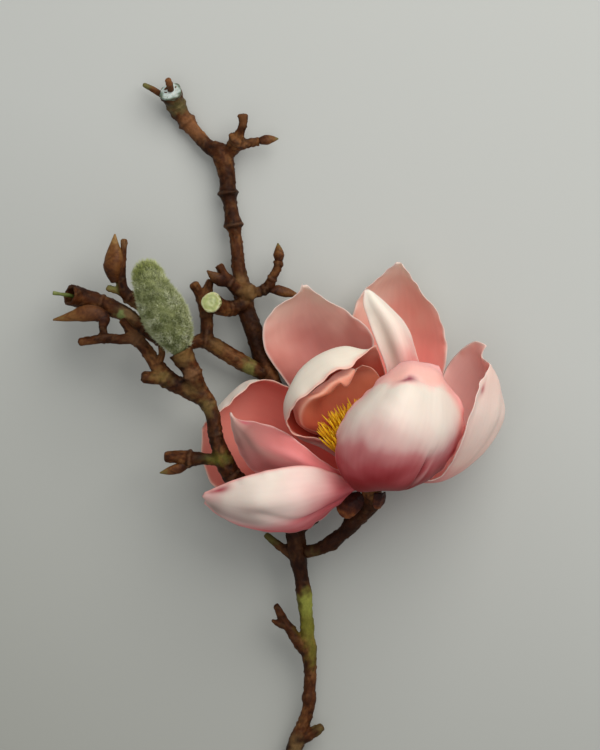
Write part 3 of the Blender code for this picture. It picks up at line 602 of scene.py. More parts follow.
def blob(name, centre, axis, radius, height, seed, rings, sides, node, material, tints, dish=0.0,
         rough=1.0):
    """Low closed button: its half-thickness is the height times the fourth root of one minus
    the radius to the fourth, with a wavering rim and a rippled face."""
    phi = np.linspace(0, FULL_TURN, sides, endpoint=False)
    r = np.sin(np.linspace(0, math.pi / 2, rings + 1))[1:]
    rr, pp = np.meshgrid(r, phi, indexing="ij")
    flat = np.stack([rr * np.cos(pp), rr * np.sin(pp), 0 * rr], -1)
    rim = 1 + rough * 0.05 * ripple(flat, 0.9, seed)
    rise = height * (1 - rr**4).clip(0) ** 0.25
    wave = rough * 0.22 * ripple(flat, 0.55, seed + 1) * (1 - rr**2)
    u = unit(np.cross(axis, (0.3, 0.1, 1.0)))
    plane = radius * rim[..., None] * (flat[..., :1] * u + flat[..., 1:2] * np.cross(axis, u))
    top = centre + plane + axis * (rise + wave - dish * (1 - rr**2))[..., None]
    low = centre + plane[:-1] - axis * rise[:-1, :, None]
    points = np.vstack([(centre + axis * (height - dish))[None], top.reshape(-1, 3),
                        low[::-1].reshape(-1, 3), (centre - axis * height)[None]])
    obj = plain_mesh(name, (points + LIFT) * MM, tube_faces(rings * 2 - 1, sides, flip=True))
    out = np.linalg.norm(points - centre, axis=1) / radius + 0.12 * ripple(points, 2.2, seed + 2)
    lay_paint(obj.data, gradient(out, tints))
    obj.data.materials.append(material)
    stands_for(obj, node)


blob("glue_seal", (-47.6, 164.8, 10.8) + face_axis * 1.3, face_axis, 4.7, 1.0, 31, 14, 48,
     "glue_disc", glue,
     [(0.0, 176, 176, 158), (0.3, 214, 220, 214), (0.75, 188, 198, 190), (1.0, 96, 112, 92),
      (1.15, 70, 62, 44)], rough=2.2)
cut_green = painted("cut_green", 0.36, 700, 0.14, (0.4, 0.2), subsurface=0.15)
stub_axis = unit(np.array([-0.35, 0.2, 0.92]))
blob("stub_cut_face", (-29, 72.3, 24.7) + stub_axis * 1.5, stub_axis, 4.6, 0.95, 37, 16, 56,
     "green_cut_face", cut_green,
     # The whitish centre of these tints is a painted glossy highlight.
     [(0.0, 214, 214, 178), (0.16, 172, 180, 120), (0.3, 196, 200, 150), (0.6, 168, 176, 112),
      (0.82, 184, 190, 130), (0.95, 206, 206, 160), (1.08, 120, 122, 64)], dish=0.15, rough=0.9)
wire_green = painted("wire_green", 0.45, 600, 0.25, (0.4, 0.15))
wire_way = bend([(-86.4, 74.4, 22.1, 1.05), (-91.2, 75.6, 24.9, 1.05), (-95.2, 76.2, 27.2, 0.95),
                 (-98.1, 76.6, 28.2, 0.85)], 0.4)
wire, along, _ = rod_piece(
    "green_wire_core", wire_way, lambda s, phi: 0.8 + 0.10 * np.sin(2 * phi + 1.1 * s), 18, wire_green,
    "green_wire")
lay_paint(wire.data, gradient(along, [(0, 34, 42, 12), (6, 68, 78, 26), (13, 112, 120, 58)]))

# --- Pointed leaf buds -------------------------------------------------------------
# Slender brown buds, each moulded as a swollen spindle wrapped by two or three scales
# whose tips overlap the one above. They are pushed over the twig ends.
bud_brown = painted("bud_brown", 0.50, 1.5, 0.30, (0.5, 0.25), coords="grain", gloss=0.16)
BUD_STEP, BUD_SIDES = 0.35, 36


def bud_piece(node, path, wraps, seed, tints):
    """Bud: the path's radius, stepped outward below each wrap (height, reach, turn, step). A
    wrap's edge lies at its height plus its reach times a power of its nearness to the tip
    side, so that it ends in a point. Edges are darkened, as painted shade under each overlap,
    and the scale above them lightened, as a painted highlight."""
    way = bend(path, BUD_STEP)
    length = lengths_along(way)[-1]

    def edge_gap(s, phi):
        gaps = []
        for height, reach, turn, _ in wraps:
            lean = np.abs(np.angle(np.exp(1j * (phi - turn)))) / math.pi
            gaps.append(s - (height + reach * (1 - lean) ** 1.6))
        return gaps

    def radius(s, phi):
        size = np.interp(s, np.linspace(0, length, len(way)), way[:, 3])
        scale = np.clip(size / 2.5, 0.25, 1.0)
        step = sum(0.6 * wrap[3] * scale * (0.5 - 0.5 * np.tanh(gap / 0.3))
                   for wrap, gap in zip(wraps, edge_gap(s, phi)))
        keel = 0.05 * np.cos(3 * phi + seed) * size
        return size * 0.93 + step + keel

    obj, along, around = rod_piece(node + "_wrapped", way, radius, BUD_SIDES, bud_brown, node, 0.6)
    p, _ = mesh_arrays(obj.data)
    mix = np.clip(along / length + 0.16 * ripple(p, 5, seed) + 0.10 * ripple(p, 1.6, seed + 1), 0, 1)
    rgb = gradient(mix, tints)
    # Painted shade just past each wrap's edge and a painted highlight on the wrap beside it.
    for gap in edge_gap(along, around):
        rgb *= (1 - 0.35 * np.exp(-((gap - 0.25) / 0.4) ** 2))[:, None]
        rgb *= (1 + 0.18 * np.exp(-((gap + 0.45) / 0.5) ** 2))[:, None]
    lay_paint(obj.data, rgb)


BROWNS = [(0, 54, 25, 11), (0.25, 80, 44, 20), (0.55, 100, 60, 28), (0.85, 114, 76, 38), (1, 106, 92, 48)]
GREY_BROWNS = [(0, 62, 32, 14), (0.3, 92, 52, 22), (0.6, 108, 68, 32), (0.9, 124, 88, 46), (1, 140, 106, 60)]
bud_piece("tall_bud", [
    (-72, 82.2, 23.9, 1.6), (-72.3, 84.5, 24, 2.6), (-72.3, 87.5, 24.7, 3.9), (-72, 91, 25, 4.3),
    (-71.8, 95, 25, 3.3), (-71.7, 99, 25, 1.7), (-71.6, 102.2, 25, 0.45)],
    [(6.5, 8.5, 0.6, 0.5), (2.0, 7.0, 3.6, 0.35)], 41, GREY_BROWNS)
bud_piece("long_left_bud", [
    (-76.6, 63.0, 27, 1.9), (-76.3, 65.2, 27, 2.5), (-78.2, 67.1, 27, 3.1), (-81.6, 67.9, 27, 3.6),
    (-85.3, 67.6, 27, 3.5), (-89, 66.8, 27, 2.7), (-93, 65.9, 27, 1.8), (-98.2, 65, 27, 0.45)],
    [(11.0, 9.0, 1.2, 0.4), (2.5, 8.0, 4.2, 0.3)], 43, BROWNS)
bud_piece("top_right_bud", [
    (-8, 144.3, 10, 1.8), (-5.5, 144.7, 10, 2.3), (-3, 145, 10, 1.6), (-0.7, 145.2, 10, 0.4)],
    [(1.6, 3.0, 1.0, 0.3)], 47, BROWNS)
bud_piece("knot_upright_bud", [
    (-0.2, 91.8, 13.6, 1.9), (-0.2, 94, 13.8, 2.5), (-0.4, 96.5, 14, 1.7), (-0.7, 98.8, 14, 0.4)],
    [(1.4, 3.0, 2.0, 0.3)], 53, BROWNS)
bud_piece("knot_side_bud", [
    (-3.6, 78.6, 11, 1.5), (-0.5, 78.2, 11, 2.3), (3.5, 77.2, 11, 2.2), (9, 75.8, 11, 0.4)],
    [(3.2, 4.5, 0.2, 0.32), (0.8, 3.5, 3.2, 0.25)], 59, BROWNS)
bud_piece("knot_left_bud", [
    (-23.2, 81.5, 15.2, 1.9), (-26.5, 83, 17, 2.9), (-29, 84.5, 18.6, 2.2), (-31.5, 86.5, 19.6, 0.5)],
    [(2.6, 4.0, 1.2, 0.4)], 61,
    [(0, 36, 14, 6), (0.5, 62, 32, 15), (1, 96, 62, 32)])
bud_piece("low_left_bud", [
    (-40, 2.6, 36, 1.8), (-43.5, 0.8, 36, 2.3), (-47, -0.2, 36, 2.0), (-51.3, -1.2, 36, 0.4)],
    [(3.5, 4.5, 1.0, 0.3)], 67, BROWNS)

# --- Furry flower bud ----------------------------------------------------------------
# A closed flower bud in a coat of short grey-green nap. The core is a lumpy plastic
# cigar; the nap is cut fibre glued on, standing out and leaning towards the tip.
FELT_STEP, HAIRS, HAIR_LENGTH, HAIR_WIDTH = 0.5, 15500, 2.3, 0.07
felt_way = bend([
    (-43.3, 53.0, 38.8, 4.3), (-44.2, 56.5, 40, 6.5), (-46, 61.5, 42, 8.3), (-48.4, 66, 43.2, 9.2),
    (-51, 71, 44, 8.8), (-53.3, 75.5, 44.7, 7.6), (-54.9, 79.5, 45, 6.7), (-56.2, 83.5, 45, 6.0),
    (-57.0, 86.0, 45, 5.0), (-57.6, 87.8, 45, 3.6), (-57.9, 88.7, 45, 1.9), (-58.0, 89.1, 45, 0.5)], FELT_STEP)
felt_core = painted("felt_core", 0.9, 700, 0.35, (0.8, 0.4))


def felt_radius(s, phi):
    """The path's radius with low lumps."""
    spot = np.stack(np.broadcast_arrays(s / 5, np.cos(phi), np.sin(phi)), -1)
    return felt_way[:, 3:4] * (1 + 0.035 * ripple(spot, 1.3, 71))


core, _, _ = rod_piece("fuzzy_bud_core", felt_way, felt_radius, 64, felt_core, "fuzzy_bud", 0.8)
p, _ = mesh_arrays(core.data)
mix = np.clip(0.5 + 0.3 * ripple(p, 7, 73) + 0.25 * ripple(p, 2.4, 74), 0, 1)
lay_paint(core.data, gradient(mix, [(0, 72, 78, 42), (0.5, 98, 104, 62), (1, 130, 134, 88)]))


def fur_mesh(name, way, count, length, width, seed):
    """Hairs rooted all over a rod: each is a thin three-sided spike of two joints whose
    lower part leans out and whose tip bends on towards the end of the rod. Gives the object,
    the roots and the random source."""
    rng = np.random.default_rng(seed)
    t, side, up = frames(way)
    weight = np.cumsum(way[:, 3] + 0.4)
    x = np.interp(rng.uniform(0, weight[-1], count), np.concatenate([[0], weight]), np.arange(len(way) + 1))
    i = np.clip(x - 0.5, 0, len(way) - 1)
    low = np.clip(i.astype(int), 0, len(way) - 2)
    f = (i - low)[:, None]
    phi = rng.uniform(0, FULL_TURN, count)
    mid = way[low] * (1 - f) + way[low + 1] * f
    spoke = np.cos(phi)[:, None] * side[low] + np.sin(phi)[:, None] * up[low]
    taper = np.gradient(way[:, 3]) / FELT_STEP
    out = unit(spoke - t[low] * np.clip(taper[low], -1.2, 1.2)[:, None])
    root = mid[:, :3] + spoke * (mid[:, 3:4] * 0.97 - 0.25)
    clump = np.stack([ripple(root, 3.2, seed + k) for k in range(3)], 1)
    stray = rng.normal(size=(count, 3)) * 0.38 + clump * 0.45
    first = unit(out + 0.30 * t[low] + stray)
    second = unit(0.75 * out + 0.65 * t[low] + stray * 1.5)
    reach = length * rng.uniform(0.55, 1.25, count)[:, None]
    knee = root + first * reach * 0.55
    tip = knee + second * reach * 0.5
    across = unit(np.cross(first, rng.normal(size=(count, 3))))
    third = np.cross(first, across)
    turn = np.arange(3) * FULL_TURN / 3
    ring = np.cos(turn)[None, :, None] * across[:, None] + np.sin(turn)[None, :, None] * third[:, None]
    points = np.concatenate(
        [root[:, None] + ring * width, knee[:, None] + ring * width * 0.75, tip[:, None]], 1)
    pattern = [(0, 1, 4, 3), (1, 2, 5, 4), (2, 0, 3, 5), (3, 4, 6), (4, 5, 6), (5, 3, 6), (0, 2, 1)]
    sizes = np.tile([len(f) for f in pattern], count)
    corners = (np.arange(count)[:, None] * 7 + np.concatenate(pattern)).ravel()
    mesh = bpy.data.meshes.new(name)
    mesh.vertices.add(count * 7)
    mesh.vertices.foreach_set("co", ((points.reshape(-1, 3) + LIFT) * MM).astype(np.float32).ravel())
    mesh.loops.add(len(corners))
    mesh.loops.foreach_set("vertex_index", corners.astype(np.int32))
    mesh.polygons.add(len(sizes))
    mesh.polygons.foreach_set("loop_start", (np.cumsum(sizes) - sizes).astype(np.int32))
    mesh.update(calc_edges=True)
    mesh.shade_smooth()
    obj = bpy.data.objects.new(name, mesh)
    bpy.context.scene.collection.objects.link(obj)
    return obj, root, rng


fur, roots, rng = fur_mesh("fuzzy_bud_nap", felt_way, HAIRS, HAIR_LENGTH, HAIR_WIDTH, 79)
fur.data.materials.append(painted("felt_nap", 0.8, 500, 0.12, (0.1, 0.05)))
shade = np.clip(0.48 + 0.30 * ripple(roots, 5.5, 81) + 0.22 * ripple(roots, 1.5, 82)
                + rng.normal(0, 0.16, len(roots)), 0, 1)
tint = gradient(shade, [(0, 116, 124, 70), (0.35, 164, 170, 118), (0.7, 200, 204, 158), (1, 236, 238, 212)])
glow = np.clip((roots[:, 1] - 76) / 14 - (roots[:, 0] + 52) / 30, 0, 1)[:, None] * 0.55
tint = tint * (1 - glow) + linear(184, 192, 98) * glow
# Each hair is painted darker at its root, as painted shade among the hairs, and brighter at its tip, as painted
# light.
fade = np.array([0.45, 0.45, 0.45, 0.95, 0.95, 0.95, 1.2])
lay_paint(fur.data, (tint[:, None] * fade[None, :, None]).reshape(-1, 3))
stands_for(fur, "fuzzy_bud")

# --- Petals ------------------------------------------------------------------------------
# Ten moulded foam-plastic petals in three whorls: cream tips that flush to rose at the
# claw outside, coral inside, thin curled rims, soft creases and faint lengthwise veins.
FLOWER_BASE = np.array([39.0, -6.7, 41.2])
FLOWER_AXIS = unit(np.array([-0.295, 0.875, 0.384]))
FLOWER_TOP = unit((0, 0, 1) - FLOWER_AXIS * FLOWER_AXIS[2])
FLOWER_SIDE = np.cross(FLOWER_AXIS, FLOWER_TOP)
OUTER, MIDDLE, INNER = (2.6, 5.8), (6.0, 4.7), (9.5, 3.3)
LONG_ROWS, WIDE_ROWS = 96, 112
RIM_ROUND, RIM_SHARE, RIM_REACH = 0.5, 0.42, 7


def even_curve(points, count):
    """Points at even lengths on the smooth curve through the given ones, without radius."""
    p = np.asarray(points, float)
    fine = bend(np.hstack([p, np.zeros((len(p), 1))]), 1.0 if len(p) > 2 else 0.5)[:, :3]
    run = lengths_along(fine)
    at = np.linspace(0, run[-1], count)
    return np.stack([np.interp(at, run, fine[:, k]) for k in range(3)], axis=1)


def petal_sheet(whorl, angles, ribs):
    """Middle sheet of a petal: smooth curves along the ribs, which start on a short arc of
    the whorl, then smooth curves across them."""
    turns = np.radians(np.linspace(angles[0], angles[1], len(ribs)))
    claw = (FLOWER_BASE + FLOWER_AXIS * whorl[0]
            + (np.cos(turns)[:, None] * FLOWER_SIDE + np.sin(turns)[:, None] * FLOWER_TOP) * whorl[1])
    rows = np.stack([even_curve(np.vstack([start, rib]), LONG_ROWS) for start, rib in zip(claw, ribs)], 1)
    return np.stack([even_curve(row, WIDE_ROWS) for row in rows])


def sheet_normals(grid):
    """Unit normals of a grid from its two neighbour differences."""
    n = np.cross(np.gradient(grid, axis=0), np.gradient(grid, axis=1))
    return n / (np.linalg.norm(n, axis=2)[..., None] + 1e-9)


def leaf_rows(outer, inner):
    """Rows for a leaf's points: the whole outer grid, then the inner one inside its rim."""
    return np.vstack([outer.reshape(-1, 3), inner[1:-1, 1:-1].reshape(-1, 3)])


def leaf_faces(rows, columns, turned):
    """Quads of two grids that share their rim, one of them turned round to close a leaf."""
    outer = np.arange(rows * columns).reshape(rows, columns)
    inner = outer.copy()
    inner[1:-1, 1:-1] = rows * columns + np.arange((rows - 2) * (columns - 2)).reshape(rows - 2, columns - 2)
    first, second = (np.stack([k[:-1, :-1], k[1:, :-1], k[1:, 1:], k[:-1, 1:]], -1).reshape(-1, 4)
                     for k in (outer, inner))
    way = -1 if turned else 1
    return [*first[:, ::way].tolist(), *second[:, ::-way].tolist()]


def rim_arc(gap, reach):
    """Quarter circle from nothing at the rim to one at the given reach inside it."""
    return np.sqrt(np.clip(1 - (1 - np.clip(gap / reach, 0, 1)) ** 2, 0, 1))


petal_stuff = {
    slot: painted(slot, 0.52, 1.0, 0.014, (0.07, 0.12), "grain", subsurface=0.15, gloss=0.18, sheen=0.02)
    for slot in ("petal_pale", "petal_salmon", "petal_pink")}


def petal_piece(node, slot, whorl, angles, ribs, outside, inside, seed, rim=(238, 208, 196),
                rim_width=((0, 1), (0.7, 0.8)), rim_sides=(1, 1), ruffle=0.4, dents=(), creases=(), spots=(),
                slant=((0, 1), (0, 0)), waver=0.25):
    """Closed petal: the middle sheet pushed along its normal by slow waves, rim ruffles,
    round dents (u, v, reach u, reach v, depth) and creases (u, v to u, v, width, depth), then
    thickened by a half-thickness that rounds to nothing at the rim. Colours run along u, with
    round spots (face, u, v, reach u, reach v, colour, cover) and a rim colour of the given width.
    Some spots are painted shade in dents, creases and folds, and some painted light on lips."""
    grid = petal_sheet(whorl, angles, ribs)
    u, v = np.meshgrid(np.linspace(0, 1, LONG_ROWS), np.linspace(0, 1, WIDE_ROWS), indexing="ij")
    long_mm = np.linalg.norm(np.diff(grid, axis=0), axis=2).sum(0).mean()
    widths = np.linalg.norm(np.diff(grid, axis=1), axis=2).sum(1)[:, None]
    wide_mm = widths.mean()
    x, y = u * long_mm, v * wide_mm
    n = sheet_normals(grid)
    hub = FLOWER_BASE + FLOWER_AXIS * ((grid - FLOWER_BASE) @ FLOWER_AXIS)[..., None]
    away = np.sign((n * (grid - hub))[: LONG_ROWS // 2].sum())
    rim_gap = np.minimum(np.minimum(v, 1 - v) * widths, (1 - u) * long_mm)
    hold = np.clip(u / 0.18, 0, 1) ** 2
    vein = ripple(np.stack([y / 1.7, x / 26], -1), 1.0, seed + 2)
    push = hold * (waver * ripple(grid, 17, seed) + 0.005 * vein
                   + ruffle * ripple(grid, 7, seed + 1) * np.exp(-(rim_gap / 2.6) ** 2))
    for cu, cv, ru, rv, depth in dents:
        push += depth * np.exp(-((u - cu) / ru) ** 2 - ((v - cv) / rv) ** 2)
    for au, av, bu, bv, wide, depth in creases:
        du, dv = (bu - au) * long_mm, (bv - av) * wide_mm
        ax, ay = x - au * long_mm, y - av * wide_mm
        f = np.clip((ax * du + ay * dv) / (du * du + dv * dv), 0, 1)
        fold = np.exp(-(np.hypot(ax - f * du, ay - f * dv) / wide) ** 2)
        push += depth * fold * np.sin(math.pi * np.clip(f, 0.02, 0.98)) ** 0.5
    sheet = grid + n * away * push[..., None]
    half = 0.5 * (RIM_SHARE + (1 - RIM_SHARE) * np.clip(rim_gap / RIM_REACH, 0, 1))
    half *= rim_arc(np.minimum(rim_gap, x + 0.3), RIM_ROUND)
    half[:, 0] = half[:, -1] = half[-1] = half[0] = 0
    wall = sheet_normals(sheet) * away * half[..., None]
    points = leaf_rows(sheet + wall, sheet - wall)
    obj = plain_mesh(node + "_skin", (points + LIFT) * MM, leaf_faces(LONG_ROWS, WIDE_ROWS, away < 0))

    flush = 0.002 * vein + 0.014 * ripple(grid, 9, seed + 3) + 0.03 * ripple(grid, 24, seed + 4)
    strength = np.exp(-(rim_gap / np.interp(u, *rim_width)) ** 2) * np.clip(u / 0.2 - 0.3, 0, 1)
    strength = (strength * np.interp(v, [0, 1], rim_sides))[..., None]
    faces = []
    for face, stops, drift in (("out", outside, flush + np.interp(v, *slant)), ("in", inside, flush)):
        rgb = gradient(np.clip(u + drift, 0, 1), stops)
        for on, cu, cv, ru, rv, colour, cover in spots:
            if on == face:
                mask = cover * np.exp(-((u - cu + 0.5 * flush) / ru) ** 2 - ((v - cv) / rv) ** 2)[..., None]
                rgb = rgb * (1 - mask) + linear(*colour) * mask
        rgb = rgb * (1 - strength) + linear(*rim) * strength
        faces.append(rgb * (1 + 0.010 * vein[..., None]))
    lay_paint(obj.data, np.clip(leaf_rows(*faces), 0, 1))
    grain = np.stack([x * 0.10, y * 0.8, np.zeros_like(u) + seed], -1)
    lay_grain(obj.data, leaf_rows(grain, grain + [0, 0, 5.0]))
    obj.data.materials.append(petal_stuff[slot])
    stands_for(obj, node)


petal_piece("petal_front", "petal_pale", OUTER, (94, 50), [
    [(26, -1, 59), (24, 9, 61), (26, 21, 64), (35, 32, 64), (45, 41, 58), (50, 45, 56)],
    [(32, -7, 61), (30, 6, 75), (33, 20, 80), (41, 32, 79), (48, 40, 70), (52, 46, 57)],
    [(43, -7, 66), (45, 5, 84), (48, 20, 91), (51, 33, 88), (54, 41, 76), (57, 47, 58)],
    [(55, -7, 60), (61, 5, 76), (65, 20, 82), (66, 31, 77), (64, 41, 68), (62, 46, 57)],
    [(65, -3, 52), (74, 7, 54), (79, 22, 56), (77, 30, 56), (72, 36, 55), (68, 45, 55)]],
    [(0, 116, 6, 10), (0.22, 130, 12, 17), (0.29, 150, 32, 38), (0.36, 178, 72, 76),
     (0.43, 204, 126, 125), (0.48, 226, 180, 172), (0.54, 237, 208, 196), (0.6, 239, 219, 205),
     (0.755, 238, 222, 207), (0.785, 248, 200, 188), (0.81, 255, 188, 174), (1, 255, 190, 176)],
    [(0, 170, 60, 50), (0.5, 204, 110, 98), (1, 232, 160, 150)], 101, rim=(250, 178, 172),
    rim_width=((0.3, 0.5, 0.6, 0.74, 0.86, 1), (0.8, 1.3, 3.0, 6.5, 9.5, 10)),
    slant=((0, 0.12, 0.35, 0.6, 0.8, 1), (-0.02, -0.005, 0.0, 0.01, -0.05, -0.16)),
    dents=[(0.79, 0.41, 0.02, 0.08, -0.35), (0.9, 0.5, 0.06, 0.5, 0.8)],
    creases=[(0.48, 0.68, 0.14, 0.74, 0.8, -1.8), (0.80, 0.08, 0.80, 0.92, 1.5, -0.8)],
    spots=[("out", 0.82, 0.86, 0.07, 0.13, (250, 172, 158), 0.85),
           # This small dark mauve spot is painted shade in the dimple dent near the tip.
           ("out", 0.787, 0.41, 0.015, 0.06, (142, 52, 76), 1.0),
           # These two thin lines are painted: a dark line of painted shade along the crease and a pale line
           # beside it, a painted highlight on its lip.
           ("out", 0.31, 0.70, 0.15, 0.011, (104, 22, 28), 0.8),
           ("out", 0.33, 0.735, 0.12, 0.012, (236, 190, 184), 0.35)])
petal_piece("petal_right", "petal_pale", OUTER, (25, -30), [
    [(68, -3, 46), (75, 8, 60), (80, 23, 66), (85, 37, 62), (88.4, 42.5, 54)],
    [(71.4, -3.6, 34), (86.8, 9.6, 28), (95.8, 25, 30), (94.4, 37, 38), (90, 45.5, 50)],
    [(69, 4, 29.5), (82, 20, 23), (88.5, 36, 26), (89.5, 44, 34), (86.4, 49.2, 43.5)],
    [(63, 13, 26), (68, 30, 20), (74, 46, 21), (80.5, 53.3, 29), (86.2, 55.3, 41), (88.6, 53.6, 45.5)]],
    [(0, 150, 50, 50), (0.15, 190, 88, 86), (0.3, 226, 148, 140), (0.45, 238, 194, 180),
     (0.7, 244, 216, 203), (1, 238, 200, 186)],
    [(0, 224, 116, 108), (0.5, 255, 190, 180), (1, 254, 200, 188)], 103,
    slant=((0, 0.6, 1), (0, 0, -0.2)), creases=[(0.3, 0.3, 0.8, 0.42, 2.0, -0.7)],
    # The small dark pink spot near the tip is painted shade of a dimple.
    spots=[("out", 0.86, 0.09, 0.035, 0.03, (178, 84, 92), 0.85),
           ("out", 0.35, 0.0, 0.3, 0.06, (224, 130, 124), 0.5),
           ("out", 0.4, 1.0, 0.3, 0.1, (214, 110, 108), 0.6),
           # The greyish spot is painted shade in a shallow valley.
           ("out", 0.55, 0.62, 0.3, 0.10, (206, 172, 160), 0.6)])
petal_piece("petal_back_right", "petal_salmon", OUTER, (282, 312), [
    [(34, 17, 24), (31, 39, 13), (31, 63, 12), (36, 77, 16), (46, 86, 22), (51, 90, 28)],
    [(48, 17, 18), (52, 39, 6.3), (54, 61, 1.6), (55, 79, 8.3), (53, 90, 26)],
    [(57, 13, 24), (69, 32, 12), (74, 52, 12), (70, 67, 16), (61, 79, 20), (54, 88, 26)]],
    [(0, 160, 70, 70), (0.3, 220, 156, 148), (0.6, 238, 214, 200), (1, 236, 214, 200)],
    [(0, 160, 56, 50), (0.3, 212, 98, 90), (0.55, 239, 140, 128), (0.72, 240, 168, 151),
     (0.86, 246, 208, 190), (1, 246, 226, 208)], 107, spots=[("in", 0.76, 0.12, 0.16, 0.2, (244, 204, 184), 0.7)])
petal_piece("petal_back_left", "petal_pink", OUTER, (235, 262), [
    [(22, 15, 21), (2, 39, 14), (-7, 54, 18), (-7, 63, 21), (0, 72, 25), (8, 77, 28), (10, 81, 30)],
    [(27, 18, 20), (16, 41, 11.5), (13, 59, 10), (11, 72, 18), (10, 80, 30)],
    [(36, 21, 30), (39, 43, 24), (41, 58, 22), (32, 67, 22), (19, 75, 26), (12, 80, 30)]],
    [(0, 160, 70, 70), (0.3, 220, 156, 148), (0.6, 238, 214, 200), (1, 236, 214, 200)],
    [(0, 140, 60, 54), (0.3, 148, 71, 63), (0.5, 164, 87, 78), (0.66, 206, 134, 121),
     (0.8, 240, 188, 172), (1, 242, 218, 198)], 109,
    spots=[("in", 0.70, 0.46, 0.14, 0.26, (176, 104, 98), 0.6)])
petal_piece("petal_left", "petal_salmon", OUTER, (215, 180), [
    [(21, 15, 29), (7, 34, 28), (-7, 39, 28), (-22, 28, 29), (-33, 19, 30)],
    [(16, 14, 25), (2, 33, 21), (-13, 38, 20), (-23, 31, 21), (-33, 19, 26)],
    [(13, 6, 24), (-4, 12, 17), (-20, 15, 17), (-34, 17, 28)],
    [(19, -6, 32), (2, -6, 25), (-15, -7, 23), (-28, -8, 24), (-33, 2, 25), (-34, 16, 28)]],
    [(0, 180, 90, 86), (0.3, 226, 190, 178), (0.6, 236, 222, 208), (1, 232, 214, 200)],
    [(0, 232, 86, 76), (0.3, 236, 108, 94), (0.6, 222, 114, 100), (1, 230, 150, 134)], 113,
    rim=(240, 190, 172))
petal_piece("petal_lower_left", "petal_pale", OUTER, (122, 162), [
    [(22, 0, 56), (11, 3, 63), (-4, 1, 64), (-18, -3, 60), (-32, -9, 52)],
    [(20, -9, 60), (7, -12, 67), (-8, -13, 66), (-21, -12, 58), (-33, -11, 51)],
    [(21, -15, 51), (7, -23, 54), (-8, -24, 52), (-22, -20, 50), (-32, -12, 50)],
    [(24, -16, 42), (9, -26, 38), (-6, -26, 36), (-21, -22, 40), (-32, -14, 46)]],
    [(0, 170, 56, 64), (0.12, 214, 100, 104), (0.28, 234, 164, 160), (0.42, 242, 206, 196),
     (0.6, 242, 222, 208), (0.88, 238, 216, 202), (1, 226, 180, 172)],
    [(0, 180, 70, 64), (1, 220, 140, 130)], 127, rim=(238, 166, 158), rim_width=((0, 1), (0.9, 1.0)),
    slant=((0, 0.35, 0.52, 0.66, 0.8, 1), (0.05, 0, -0.10, -0.38, -0.60, -0.7)),
    creases=[(0.66, 0.38, 0.42, 0.58, 1.7, -1.3), (0.46, 0.56, 0.10, 0.70, 1.7, -1.3),
             (0.66, 0.68, 0.40, 0.84, 1.2, -0.9)],
    spots=[("out", 0.9, 0.09, 0.07, 0.06, (176, 60, 74), 0.95),
           ("out", 0.45, 0.66, 0.24, 0.05, (206, 138, 138), 0.75),
           # The grey spots at u 0.76, 0.82, 0.66, 0.93 and 0.70 are painted shade in the folds and creases.
           ("out", 0.76, 0.56, 0.16, 0.06, (176, 142, 138), 0.75),
           ("out", 0.5, 0.80, 0.42, 0.14, (226, 108, 112), 0.85),
           ("out", 0.82, 0.5, 0.12, 0.12, (196, 166, 160), 0.5),
           ("out", 0.66, 0.37, 0.12, 0.06, (160, 128, 122), 0.6),
           ("out", 0.93, 0.6, 0.1, 0.25, (138, 110, 104), 0.75),
           ("out", 0.70, 0.52, 0.13, 0.12, (176, 146, 138), 0.55)])
petal_piece("petal_small_left", "petal_pink", MIDDLE, (120, 150), [
    [(21, 3, 48), (9, 12, 49), (-2, 19, 48), (-10, 21, 46), (-18, 22, 44), (-21, 25, 42)],
    [(17, 1, 52), (5, 7, 56), (-7, 11, 56), (-15, 17, 50), (-21, 25, 43)],
    [(15, -4, 48), (0, -3, 49), (-11, 0, 48), (-18, 11, 46), (-21, 23, 42)]],
    [(0, 206, 62, 72), (0.2, 242, 128, 130), (0.42, 238, 142, 140), (0.6, 194, 112, 108),
     (0.8, 172, 106, 100), (0.93, 214, 172, 160), (1, 246, 234, 220)],
    [(0, 180, 70, 64), (1, 214, 136, 126)], 131, rim=(244, 192, 184), rim_sides=(1, 0.3),
    creases=[(0.75, 0.45, 0.35, 0.55, 1.6, -0.7), (0.9, 0.5, 0.6, 0.75, 1.8, -0.7)],
    spots=[("out", 0.86, 0.16, 0.04, 0.12, (196, 84, 98), 0.85),
           # The two greyish spots at u 0.62 and 0.8 are painted shade.
           ("out", 0.62, 0.56, 0.16, 0.07, (166, 122, 112), 0.6),
           ("out", 0.8, 0.6, 0.14, 0.3, (150, 118, 108), 0.6),
           ("out", 0.42, 0.6, 0.12, 0.05, (186, 110, 108), 0.6)])
petal_piece("petal_hood", "petal_pale", MIDDLE, (180, 290), [
    [(26, 9, 44.5), (19.2, 13.6, 47), (11.5, 14, 49.5), (6, 16.2, 52), (4, 20.5, 55.5), (4.6, 25, 60),
     (9, 30.2, 64), (14.4, 34.4, 65), (19.8, 39.3, 65), (24.3, 43, 64), (30.5, 43.9, 62), (32.5, 46.3, 59.5),
     (37, 50.3, 56), (40.8, 53.6, 54)],
    [(18, 10.6, 42), (9.2, 13.6, 43), (4.2, 19.4, 46), (2.8, 29, 49.5), (11, 45, 50), (28, 53, 50), (38, 52, 52),
     (41, 54, 53)],
    [(15, 17, 36), (13, 28, 35), (20, 37, 35), (28, 43, 37), (37, 48, 41), (41.5, 53.5, 50)],
    [(41, 17, 34), (44, 30, 33), (46, 40, 34), (44, 47, 38), (42, 52, 47)]],
    [(0, 176, 80, 80), (0.15, 224, 168, 158), (0.3, 236, 214, 199), (0.6, 236, 222, 205), (1, 234, 219, 201)],
    [(0, 170, 52, 38), (0.4, 206, 84, 64), (0.8, 224, 120, 98), (1, 232, 156, 134)], 137,
    # The light pink band along the inside of the v = 0 rim is painted light on the lip.
    spots=[("in", 0.6, 0.0, 9, 0.05, (246, 196, 178), 0.9),
           ("out", 0.18, 0.02, 0.24, 0.16, (158, 26, 24), 1.0)],
    rim=(238, 182, 164), rim_width=((0, 0.4, 1), (0.8, 1.7, 1.9)), rim_sides=(1, 0))
